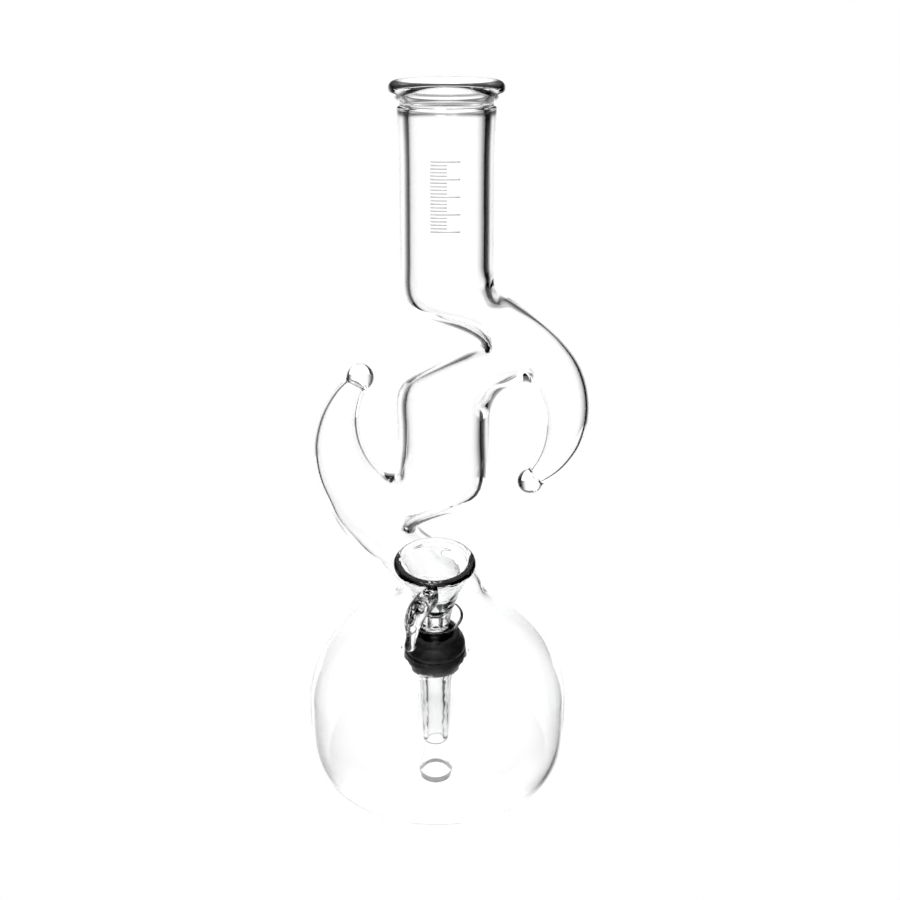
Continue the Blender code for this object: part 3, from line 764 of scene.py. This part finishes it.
def spread(points, step):
    """Add points between far ones, so that the smoothed line keeps to a straight stretch."""
    made = []
    for first, second in zip(points, points[1:]):
        length = math.dist(first, second)
        made.append(first)
        if length > 2.2 * step:
            for share in (step / length, 1 - step / length):
                made.append(tuple(a + (b - a) * share for a, b in zip(first, second)))
    return [*made, points[-1]]


# Node trees ------------------------------------------------------------------------------------------


class NodeTree:
    """A node tree whose nodes are set or linked as they are added."""

    def __init__(self, tree):
        self.tree = tree

    def link(self, value, socket):
        if isinstance(value, bpy.types.NodeSocket):
            self.tree.links.new(value, socket)
        elif value is not None:
            socket.default_value = value

    def node(self, kind, inputs=None, **settings):
        made = self.tree.nodes.new(kind)
        for name, value in settings.items():
            setattr(made, name, value)
        for name, value in (inputs or {}).items():
            self.link(value, made.inputs[name])
        return made

    def math(self, operation, first, second=None, third=None):
        inputs = dict(enumerate((first, second, third)))
        return self.node("ShaderNodeMath", inputs, operation=operation).outputs[0]

    def fade(self, value, start, end, first=0.0, last=1.0):
        """Ease from the first value to the last between two places."""
        inputs = {"Value": value, "From Min": start, "From Max": end, "To Min": first, "To Max": last}
        return self.node("ShaderNodeMapRange", inputs, interpolation_type="SMOOTHSTEP").outputs["Result"]


class Grower(NodeTree):
    """A small geometry tree: named inputs, nodes linked as they are added, one geometry out."""

    def __init__(self, name):
        super().__init__(bpy.data.node_groups.new(name, "GeometryNodeTree"))
        self.tree.interface.new_socket("Geometry", in_out="OUTPUT", socket_type="NodeSocketGeometry")
        self.inputs = {}
        self.source = self.tree.nodes.new("NodeGroupInput")
        self.sink = self.tree.nodes.new("NodeGroupOutput")

    def input(self, name, kind="NodeSocketFloat"):
        socket = self.tree.interface.new_socket(name, in_out="INPUT", socket_type=kind)
        self.inputs[name] = socket.identifier
        return self.source.outputs[name]

    def vector(self, x=0.0, y=0.0, z=0.0):
        return self.node("ShaderNodeCombineXYZ", {"X": x, "Y": y, "Z": z}).outputs[0]

    def grid(self, size, around, along):
        inputs = {"Size X": 1.0, "Size Y": size, "Vertices X": around, "Vertices Y": along}
        return self.node("GeometryNodeMeshGrid", inputs).outputs["Mesh"]

    def spot(self):
        """The three coordinates of each point."""
        position = self.node("GeometryNodeInputPosition").outputs[0]
        return self.node("ShaderNodeSeparateXYZ", {0: position}).outputs

    def placed(self, geometry, x, y, z):
        inputs = {"Geometry": geometry, "Position": self.vector(x, y, z)}
        return self.node("GeometryNodeSetPosition", inputs).outputs[0]

    def finish(self, geometry):
        """Close the tree with the realised geometry and its material."""
        finish = self.input("Finish", "NodeSocketMaterial")
        smooth = self.node("GeometryNodeSetShadeSmooth", {"Geometry": geometry}).outputs[0]
        real = self.node("GeometryNodeRealizeInstances", {"Geometry": smooth}).outputs[0]
        look = self.node("GeometryNodeSetMaterial", {"Geometry": real, "Material": finish}).outputs[0]
        self.tree.links.new(look, self.sink.inputs[0])


def grown(name, builder, values, place=None):
    """Run a tree on an empty mesh with the given inputs, and keep the result as a plain mesh."""
    piece = link_piece(name, bpy.data.meshes.new(name))
    modifier = piece.modifiers.new("grow", "NODES")
    modifier.node_group = builder.tree
    for label, value in values.items():
        modifier[builder.inputs[label]] = value
    settle(piece)
    if place is not None:
        piece.data.transform(place)
    if not piece.data.polygons:
        raise RuntimeError(name + " came out empty")
    return piece


def downstem_tree():
    """A tube whose radius follows its height: straight, then flaring out to a rounded lip."""
    nodes = Grower("flared_tube")
    outside, wall, flare = nodes.input("Outside"), nodes.input("Wall"), nodes.input("Flare")
    low, foot, high = nodes.input("Low"), nodes.input("Foot"), nodes.input("High")
    grid = nodes.grid(1.0, around=97, along=241)
    spot = nodes.spot()
    turn = nodes.math("MULTIPLY", spot["X"], 2 * math.pi)
    loop = nodes.math("ADD", spot["Y"], 0.5)
    # loop runs up the outside and back down the bore; share is the height along the tube.
    swing = nodes.math("ABSOLUTE", nodes.math("SUBTRACT", nodes.math("MULTIPLY", loop, 2.0), 1.0))
    share = nodes.math("POWER", nodes.math("SUBTRACT", 1.0, swing), 0.62)
    height = nodes.math("MULTIPLY_ADD", share, nodes.math("SUBTRACT", high, low), low)
    opening = nodes.math("SUBTRACT", flare, outside)
    rise = nodes.math("DIVIDE", nodes.math("SUBTRACT", height, foot), nodes.math("SUBTRACT", high, foot))
    rise = nodes.math("POWER", nodes.math("MAXIMUM", rise, 0.0), 1.35)
    skin = nodes.math("MULTIPLY_ADD", opening, rise, outside)
    skin = nodes.math("MULTIPLY_ADD", nodes.math("MULTIPLY", wall, 0.5), rise, skin)
    in_top = nodes.fade(loop, 0.485, 0.515)
    out_low = nodes.fade(loop, 0.006, 0.0)
    out_high = nodes.fade(loop, 0.994, 1.0)
    depth = nodes.math("SUBTRACT", in_top, nodes.math("MULTIPLY", out_high, 0.5))
    depth = nodes.math("ADD", depth, nodes.math("MULTIPLY", out_low, 0.5))
    radius = nodes.math("SUBTRACT", skin, nodes.math("MULTIPLY", wall, depth))
    x = nodes.math("MULTIPLY", radius, nodes.math("COSINE", turn))
    y = nodes.math("MULTIPLY", radius, nodes.math("SINE", turn))
    placed = nodes.placed(grid, x, y, height)
    sewn = nodes.node("GeometryNodeMergeByDistance", {"Geometry": placed, "Distance": 0.000004}).outputs[0]
    nodes.finish(sewn)
    return nodes


def scale_tree():
    """Etched lines on the neck at an even pitch, every fifth one longer, bent round the tube."""
    nodes = Grower("etched_scale")
    count = nodes.input("Count", "NodeSocketInt")
    pitch, base = nodes.input("Pitch"), nodes.input("Base")
    radius, centre = nodes.input("Tube radius"), nodes.input("Tube place")
    line = nodes.node(
        "GeometryNodeMeshLine",
        {"Count": count, "Start Location": nodes.vector(z=base), "Offset": nodes.vector(z=pitch)},
    ).outputs[0]
    index = nodes.node("GeometryNodeInputIndex").outputs[0]
    major = nodes.math("COMPARE", nodes.math("MODULO", index, 5.0), 0.0, 0.1)
    length = nodes.math("MULTIPLY_ADD", major, LONG_LINE_EXTRA, SHORT_LINE)
    grid = nodes.grid(LINE_WIDTH, around=25, along=3)
    turned_up = nodes.node(
        "GeometryNodeTransform",
        {"Geometry": grid, "Translation": (0.5, 0.0, 0.0), "Rotation": (math.pi / 2, 0, 0)},
    ).outputs[0]
    stamps = nodes.node(
        "GeometryNodeInstanceOnPoints",
        {"Points": line, "Instance": turned_up, "Scale": nodes.vector(length, 1.0, 1.0)},
    ).outputs[0]
    real = nodes.node("GeometryNodeRealizeInstances", {"Geometry": stamps}).outputs[0]
    spot = nodes.spot()
    arc_length = nodes.math("ADD", spot["X"], LINES_START)
    turn = nodes.math("DIVIDE", arc_length, radius)
    x = nodes.math("MULTIPLY_ADD", nodes.math("SINE", turn), radius, centre)
    y = nodes.math("MULTIPLY", nodes.math("MULTIPLY", nodes.math("COSINE", turn), radius), -1.0)
    bent = nodes.placed(real, x, y, spot["Z"])
    inputs = {"Mesh": bent, "Offset Scale": PRINT_THICKNESS, "Individual": False}
    extrude = nodes.node("GeometryNodeExtrudeMesh", inputs)
    nodes.finish(extrude.outputs["Mesh"])
    return nodes


# Materials -------------------------------------------------------------------------------------------


class Surface(NodeTree):
    """A material's node tree with its Principled shader, and short ways to add to it."""

    def __init__(self, name):
        self.material = bpy.data.materials.new(name)
        self.material.use_nodes = True
        super().__init__(self.material.node_tree)
        self.shader = self.tree.nodes["Principled BSDF"]
        self.place = self.node("ShaderNodeTexCoord").outputs["Object"]

    def noise(self, scale, detail=3.0, roughness=0.5):
        inputs = {"Scale": scale, "Detail": detail, "Roughness": roughness, "Vector": self.place}
        return self.node("ShaderNodeTexNoise", inputs).outputs["Fac"]

    def ramp(self, value, *stops):
        made = self.tree.nodes.new("ShaderNodeValToRGB")
        points = made.color_ramp.elements
        while len(points) < len(stops):
            points.new(0.5)
        for point, (place, color) in zip(points, stops):
            point.position = place
            point.color = (*color, 1) if isinstance(color, tuple) else (color, color, color, 1)
        self.tree.links.new(value, made.inputs["Fac"])
        return made.outputs["Color"]

    def bump(self, height, strength, distance, base=None):
        inputs = {"Strength": strength, "Distance": distance, "Height": height, "Normal": base}
        return self.node("ShaderNodeBump", inputs).outputs["Normal"]

    def drive(self, socket, value):
        self.tree.links.new(value, self.shader.inputs[socket])


def glass(name, tint, waviness, dark=(0.985, 0.990, 0.988), swirl=0.0):
    """Clear blown glass: slow waves in its skin, faint streaks of tint and a breath of surface haze."""
    look = Surface(name)
    look.shader.inputs["Transmission Weight"].default_value = 1.0
    look.shader.inputs["IOR"].default_value = 1.47
    streaks = look.ramp(look.noise(45.0, 2.0), (0.30, dark), (0.62, tuple(tint)))
    look.drive("Base Color", streaks)
    look.drive("Roughness", look.ramp(look.noise(160.0, 4.0), (0.35, 0.0), (0.80, 0.012)))
    waves = look.bump(look.noise(38.0, 1.0), waviness, 0.0016)
    if swirl:
        waves = look.bump(look.noise(150.0, 1.0), swirl, 0.0010, waves)
    look.drive("Normal", look.bump(look.noise(210.0, 2.0), waviness * 0.25, 0.0002, waves))
    return look.material


def rubber(settings):
    """Black moulded rubber: fine grain, a slight bloom of dust and uneven sheen."""
    look = Surface("black_rubber")
    color = tuple(settings.color)
    bloom = tuple(min(1.0, c * 3.2 + 0.006) for c in color)
    look.drive("Base Color", look.ramp(look.noise(420.0, 6.0, 0.62), (0.42, color), (0.78, bloom)))
    look.drive("Roughness", look.ramp(look.noise(190.0, 4.0), (0.30, 0.30), (0.75, 0.46)))
    look.shader.inputs["Specular IOR Level"].default_value = 0.3
    grain = look.bump(look.noise(2600.0, 3.0), settings.grain, 0.00006)
    look.drive("Normal", look.bump(look.noise(260.0, 2.0), settings.grain, 0.00012, grain))
    return look.material


def frosted_print(settings):
    """Frosted print fired on the neck: matt, thin in places."""
    look = Surface("frosted_print")
    color = tuple(settings.color)
    thin = tuple(min(1.0, c * 1.18) for c in color)
    look.drive("Base Color", look.ramp(look.noise(900.0, 4.0), (0.35, color), (0.70, thin)))
    look.drive("Roughness", look.ramp(look.noise(600.0, 2.0), (0.2, 0.55), (0.8, 0.75)))
    look.drive("Normal", look.bump(look.noise(3000.0, 2.0), 0.2, 0.00004))
    return look.material


# Pieces ----------------------------------------------------------------------------------------------

BODY_NODES = (
    "mouth_ring",
    "neck_tube",
    "upper_bend",
    "right_horn_tip",
    "middle_tube",
    "lower_bend",
    "left_horn_tip",
    "flask",
    "port_rim",
)


class PIPE_OT_glass_body(bpy.types.Operator):
    """Blow the whole glass body in one piece: neck, both bends, both horns and the flask"""

    bl_idname = "pipe.glass_body"
    bl_label = "Glass Body"

    def execute(self, context):
        settings = context.scene.pipe_glass
        piece = make_glass_body(settings)
        piece.data.materials.append(glass("clear_glass", settings.tint, settings.waviness))
        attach(piece, GLASS_BODY)
        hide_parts(*BODY_NODES)
        return {"FINISHED"}


class PIPE_OT_neck_scale(bpy.types.Operator):
    """Print the plain measuring scale on the front of the neck"""

    bl_idname = "pipe.neck_scale"
    bl_label = "Neck Scale"

    def execute(self, context):
        settings = context.scene.pipe_mark
        values = {
            "Count": settings.count,
            "Pitch": settings.pitch,
            "Base": settings.base,
            "Tube radius": TUBE_R + PRINT_LIFT,
            "Tube place": NECK_X,
            "Finish": frosted_print(settings),
        }
        piece = grown("neck_scale", scale_tree(), values)
        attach(piece, GLASS_BODY)
        return {"FINISHED"}


class PIPE_OT_grommet(bpy.types.Operator):
    """Mould the rubber bush that holds the downstem in the port"""

    bl_idname = "pipe.grommet"
    bl_label = "Grommet"

    def execute(self, context):
        middle = RIM_MIDDLE
        groove = RIM_BORE_R + PRESS * 2
        bore = context.scene.pipe_stem.outside + GAP
        top, bottom, outside, rounding = GROMMET_TOP, GROMMET_BOTTOM, GROMMET_R, GROMMET_ROUNDING
        low, high = middle - RIM_HALF + PRESS, middle + RIM_HALF - PRESS
        profile = [(bore + 0.0003, bottom), (outside - rounding, bottom)]
        profile += arc((outside - rounding, bottom + rounding), rounding, -72, -6, 6)
        profile += offsets(outside, low, (0, -0.0005), (-0.0004, -0.0001), (-0.0008, 0))
        profile += offsets(groove, low, (0.0001, 0.0001), (0, 0.0004))
        profile += offsets(groove, high, (0, -0.0004), (0.0001, -0.0001))
        profile += offsets(outside, high, (-0.0008, 0), (-0.0004, 0.0001), (0, 0.0005), (0.0001, 0.0016))
        profile += offsets(outside, high, (-0.0002, 0.0030))
        profile += offsets(outside, top, (-0.0010, -0.0034), (-0.0018, -0.0022), (-0.0022, -0.0010))
        profile += offsets(outside, top, (-0.0027, -0.0002), (-0.0036, 0))
        profile += offsets(bore, top, (0.0005, 0), (0, -0.0005)) + [(bore, bottom + 0.0004)]
        piece = turned("rubber_grommet", spread(profile, 0.0006), hold=MOULDED)
        piece.data.materials.append(rubber(context.scene.pipe_rubber))
        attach(piece, GROMMET_BODY)
        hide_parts("grommet")
        return {"FINISHED"}


class PIPE_OT_downstem(bpy.types.Operator):
    """Draw the downstem as a thin tube with a flared lip"""

    bl_idname = "pipe.downstem"
    bl_label = "Downstem"

    def execute(self, context):
        stem, look = context.scene.pipe_stem, context.scene.pipe_glass
        values = {
            "Outside": stem.outside,
            "Wall": stem.wall,
            "Flare": stem.flare,
            "Low": stem.low,
            "Foot": stem.foot,
            "High": stem.high,
            "Finish": glass("stem_glass", look.tint, look.waviness * 0.5),
        }
        piece = grown("glass_downstem", downstem_tree(), values, STEM_FRAME)
        outward(piece)
        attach(piece, STEM_BODY)
        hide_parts("downstem")
        return {"FINISHED"}


def outward(piece):
    """Turn a finished piece's faces outwards."""
    bm = bmesh.new()
    bm.from_mesh(piece.data)
    bmesh.ops.recalc_face_normals(bm, faces=bm.faces)
    bm.to_mesh(piece.data)
    bm.free()


# Slide -----------------------------------------------------------------------------------------------


def bowl_outside():
    """The bowl's outside from its foot to under the rim."""
    rise = BOWL_TOP - BOWL_SEAT
    shares = ((0.0, 0.01), (0.08, 0.07), (0.20, 0.12), (0.32, 0.22), (0.55, 0.44), (0.76, 0.72), (0.88, 0.90))
    return [(SLIDE_R + (BOWL_R - SLIDE_R) * across, BOWL_SEAT + rise * height) for height, across in shares]


def slide_profile():
    """Stem, cone, rolled rim, cavity and draw hole in one closed outline."""
    rim, cavity = BOWL_RIM_R, BOWL_SEAT + 0.0072
    low = [(SLIDE_BORE_R, SLIDE_LOW + 0.0004), (SLIDE_BORE_R + 0.0004, SLIDE_LOW)]
    low += [(SLIDE_R - 0.0005, SLIDE_LOW)]
    low += [(SLIDE_R, SLIDE_LOW + 0.0005), (SLIDE_R, -0.02), (SLIDE_R, 0.0), (SLIDE_R, BOWL_SEAT - 0.003)]
    wall = bowl_outside() + arc((BOWL_R - rim, BOWL_TOP - rim), rim, -40, 130, 8)
    inside = [(BOWL_R - 0.0036, BOWL_TOP - 0.0013), (BOWL_R - 0.0034, BOWL_TOP - 0.0021)]
    inside += [(BOWL_R - 0.0042, BOWL_TOP - 0.0036), (BOWL_R - 0.0060, BOWL_TOP - 0.0084)]
    inside += [(BOWL_R - 0.0086, BOWL_TOP - 0.0150), (BOWL_HOLE_R + 0.0034, cavity + 0.0046)]
    inside += [(BOWL_HOLE_R + 0.0014, cavity + 0.0014), (BOWL_HOLE_R, cavity), (BOWL_HOLE_R, cavity - 0.002)]
    inside += [(BOWL_HOLE_R, BOWL_SEAT + 0.0012), (SLIDE_BORE_R, BOWL_SEAT - 0.0008), (SLIDE_BORE_R, 0.0)]
    inside += [(SLIDE_BORE_R, -0.025)]
    return low + wall + inside


def radius_at(outline, height):
    for (low_r, low), (high_r, high) in zip(outline, outline[1:]):
        if low <= height <= high:
            return low_r + (high_r - low_r) * (height - low) / (high - low)
    return outline[-1][0] if height > outline[-1][1] else outline[0][0]


def make_handle():
    """The solid pull: a thick gather of glass on the bowl's front that trails down to a small ball."""
    outline = bowl_outside()
    route = ((0.0016, 3, 0.50), (0.0046, 6, 0.88), (0.0098, 17, 1.0), (0.0150, 26, 0.92))
    route += ((0.0205, 30, 0.78), (0.0260, 34, 0.60), (0.0310, 38, 0.48), (0.0345, 40, 0.50))
    bm = bmesh.new()
    sides = HANDLE_SIDES
    path = []
    for drop, turn, share in route:
        radius = HANDLE_R * share
        height = BOWL_TOP - drop
        clear = radius_at(outline, height) + radius + GAP
        reach = max(clear, HANDLE_CLEAR + radius)
        angle = math.radians(turn)
        path.append((Vector((-reach * math.sin(angle), -reach * math.cos(angle), height)), radius))
    rings = []
    for i, (point, radius) in enumerate(path):
        along = path[min(i + 1, len(path) - 1)][0] - path[max(i - 1, 0)][0]
        turn = Vector((0, 0, 1)).rotation_difference(-along).to_matrix()
        flat = 1.0 + 0.12 * math.sin(i * 1.9)
        ring = []
        for k in range(sides):
            angle = 2 * math.pi * k / sides + i * 0.25
            spot = Vector((math.cos(angle) * flat, math.sin(angle) / flat, 0)) * (radius / cage_pull(sides))
            ring.append(bm.verts.new(point + turn @ spot))
        rings.append(ring)
    for first, second in zip(rings, rings[1:]):
        join_rings(bm, first, second)
    for ring, neighbour, end in ((rings[0], path[1], path[0]), (rings[-1], path[-2], path[-1])):
        away = (end[0] - neighbour[0]).normalized()
        cap = bm.verts.new(end[0] + away * end[1] * 1.25)
        mid = [bm.verts.new(end[0].lerp(vert.co, 0.8) + away * end[1] * 0.8) for vert in ring]
        join_rings(bm, ring, mid)
        join_rings(bm, mid, [cap])
    bmesh.ops.transform(bm, matrix=STEM_FRAME, verts=bm.verts)
    bmesh.ops.recalc_face_normals(bm, faces=bm.faces)
    return subdivided("handle_gather", bm, HANDLE_LEVELS)


class PIPE_OT_slide(bpy.types.Operator):
    """Make the lift-out slide: bowl, stem and handle fused in one"""

    bl_idname = "pipe.slide"
    bl_label = "Slide"

    def execute(self, context):
        look = context.scene.pipe_glass
        piece = turned("glass_slide", spread(slide_profile(), 0.0009))
        handle = make_handle()
        union = piece.modifiers.new("fuse", "BOOLEAN")
        union.operation = "UNION"
        union.solver = "EXACT"
        union.object = handle
        settle(piece)
        bpy.data.objects.remove(handle, do_unlink=True)
        piece.data.shade_smooth()
        piece.data.set_sharp_from_angle(angle=math.radians(50))
        piece.data.materials.clear()
        thick = glass("solid_glass", look.tint, look.waviness, dark=(0.93, 0.94, 0.937), swirl=0.45)
        piece.data.materials.append(thick)
        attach(piece, SLIDE_BODY)
        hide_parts("bowl", "slide_stem", "handle")
        return {"FINISHED"}


# Stage -----------------------------------------------------------------------------------------------


def panel(name, size, look, height, seen=False):
    """A lit square that lies level at a height."""
    bm = bmesh.new()
    bmesh.ops.create_grid(bm, x_segments=1, y_segments=1, size=0.5)
    bmesh.ops.scale(bm, vec=(size, size, 1), verts=bm.verts)
    made = piece_from(name, bm)
    made.data.materials.append(look)
    made.location.z = height
    made.visible_camera = seen
    return made


class PIPE_OT_stage(bpy.types.Operator):
    """Set up the pale table, the light tent and mat that turn with the view, and the camera"""

    bl_idname = "pipe.stage"
    bl_label = "Table, Light and Camera"

    def execute(self, context):
        scene, studio = context.scene, context.scene.pipe_studio
        camera = bpy.data.objects.new("camera", bpy.data.cameras.new("camera"))
        scene.collection.objects.link(camera)
        back = Vector((0, -math.cos(CAMERA_RISE), math.sin(CAMERA_RISE)))
        camera.location = AIM + back * CAMERA_DISTANCE
        camera.rotation_euler = (-back).to_track_quat("-Z", "Y").to_euler()
        camera.data.lens, camera.data.sensor_width = CAMERA_LENS, CAMERA_SENSOR
        camera.data.clip_start, camera.data.clip_end = 0.01, 20.0
        scene.camera = camera
        scene.view_settings.view_transform = "Standard"

        panel("table", TABLE_SIZE, Glow("pale_table").finish(1.0), TABLE_HEIGHT, seen=True)

        # The light tent turns with the camera, as round a turntable, so its window stays behind the glass.
        stand = bpy.data.objects.new("light_stand", None)
        scene.collection.objects.link(stand)
        follow = stand.constraints.new("LOCKED_TRACK")
        follow.target = camera
        follow.track_axis = "TRACK_NEGATIVE_Y"
        follow.lock_axis = "LOCK_Z"
        tent = light_tent(tent_glow(studio.field_light))
        mat = panel("light_mat", MAT_SIZE, mat_glow(studio.field_light), MAT_HEIGHT)
        key = bpy.data.lights.new("overhead_softbox", "AREA")
        key.shape, key.energy = "RECTANGLE", studio.key_light
        key.size, key.size_y = LAMP_SIZE
        lamp = bpy.data.objects.new("overhead_softbox", key)
        scene.collection.objects.link(lamp)
        lamp.location = LAMP_PLACE
        lamp.rotation_euler = (LAMP_AIM - LAMP_PLACE).to_track_quat("-Z", "Y").to_euler()
        for thing in (tent, mat, lamp):
            thing.parent = stand
        world = bpy.data.worlds.new("studio_room")
        world.use_nodes = True
        world.node_tree.nodes["Background"].inputs["Color"].default_value = (1, 1, 1, 1)
        scene.world = world
        return {"FINISHED"}


def light_tent(look):
    """A dome round the table. The camera looks in through it, and only its light is seen."""
    bm = bmesh.new()
    bmesh.ops.create_icosphere(bm, subdivisions=5, radius=TENT_RADIUS)
    made = piece_from("light_tent", bm)
    made.data.materials.append(look)
    made.location = TENT_CENTRE
    made.visible_camera = False
    made.visible_shadow = False
    return made


class Glow(NodeTree):
    """A studio surface that gives light, by an amount that can follow the place on it."""

    def __init__(self, name):
        self.material = bpy.data.materials.new(name)
        self.material.use_nodes = True
        super().__init__(self.material.node_tree)
        self.tree.nodes.clear()
        place = self.node("ShaderNodeTexCoord").outputs["Object"]
        self.x, self.y, self.z = self.node("ShaderNodeSeparateXYZ", {0: place}).outputs

    def product(self, *values):
        made = values[0]
        for value in values[1:]:
            made = self.math("MULTIPLY", made, value)
        return made

    def finish(self, strength):
        glow = self.node("ShaderNodeEmission", {"Strength": strength})
        self.node("ShaderNodeOutputMaterial", {"Surface": glow.outputs[0]})
        return self.material


def tent_glow(light):
    """Bright at the back, at the front and overhead, and dark at the two sides, the right one more."""
    glow = Glow("tent_light")
    flat = glow.math("SQRT", glow.math("ADD", glow.product(glow.x, glow.x), glow.product(glow.y, glow.y)))
    side = glow.math("DIVIDE", glow.x, glow.math("MAXIMUM", flat, 0.001))
    right = glow.fade(side, 0.24, 0.66, 1.0, 0.0)
    left = glow.fade(side, -0.80, -0.32, 0.05, 1.0)
    height = glow.math("DIVIDE", glow.z, TENT_RADIUS)
    window = glow.product(right, left, glow.fade(height, 0.29, 0.46, 1.0, 0.12))
    over = glow.fade(height, 0.45, 0.90, 0.0, 0.8)
    return glow.finish(glow.product(glow.math("MAXIMUM", window, over), light))


def mat_glow(light):
    """A bright strip under the object that widens behind it, with the table dark on both sides."""
    glow = Glow("mat_light")
    across = glow.math("ABSOLUTE", glow.math("ADD", glow.x, 0.004))
    width = glow.math("MULTIPLY_ADD", glow.math("MAXIMUM", glow.y, 0.0), 0.70, 0.040)
    beyond = glow.math("SUBTRACT", across, width)
    strip = glow.fade(beyond, 0.0, 0.030, 1.0, 0.0)
    front = glow.fade(glow.y, -0.18, -0.06, 0.05, 1.0)
    return glow.finish(glow.product(strip, front, light))


# Panel and registration ------------------------------------------------------------------------------

STEPS = (
    PIPE_OT_stage,
    PIPE_OT_glass_body,
    PIPE_OT_neck_scale,
    PIPE_OT_grommet,
    PIPE_OT_downstem,
    PIPE_OT_slide,
)


class PIPE_PT_panel(bpy.types.Panel):
    """Everything this add-on makes"""

    bl_label = "Water Pipe"
    bl_idname = "PIPE_PT_panel"
    bl_space_type = "VIEW_3D"
    bl_region_type = "UI"
    bl_category = "Water Pipe"

    def draw(self, context):
        for step in STEPS:
            self.layout.operator(step.bl_idname)
        for name, group in SETTINGS.items():
            box = self.layout.box()
            for prop in group.__annotations__:
                box.prop(getattr(context.scene, name), prop)


def register():
    for group in SETTINGS.values():
        bpy.utils.register_class(group)
    for step in (*STEPS, PIPE_PT_panel):
        bpy.utils.register_class(step)
    for name, group in SETTINGS.items():
        setattr(bpy.types.Scene, name, bpy.props.PointerProperty(type=group))


def unregister():
    for name in SETTINGS:
        delattr(bpy.types.Scene, name)
    for step in reversed((*STEPS, PIPE_PT_panel)):
        bpy.utils.unregister_class(step)
    for group in reversed(SETTINGS.values()):
        bpy.utils.unregister_class(group)


def main():
    register()
    bpy.ops.pipe.stage()
    bpy.ops.pipe.glass_body()
    bpy.ops.pipe.neck_scale()
    bpy.ops.pipe.grommet()
    bpy.ops.pipe.downstem()
    bpy.ops.pipe.slide()


if __name__ == "__main__":
    main()
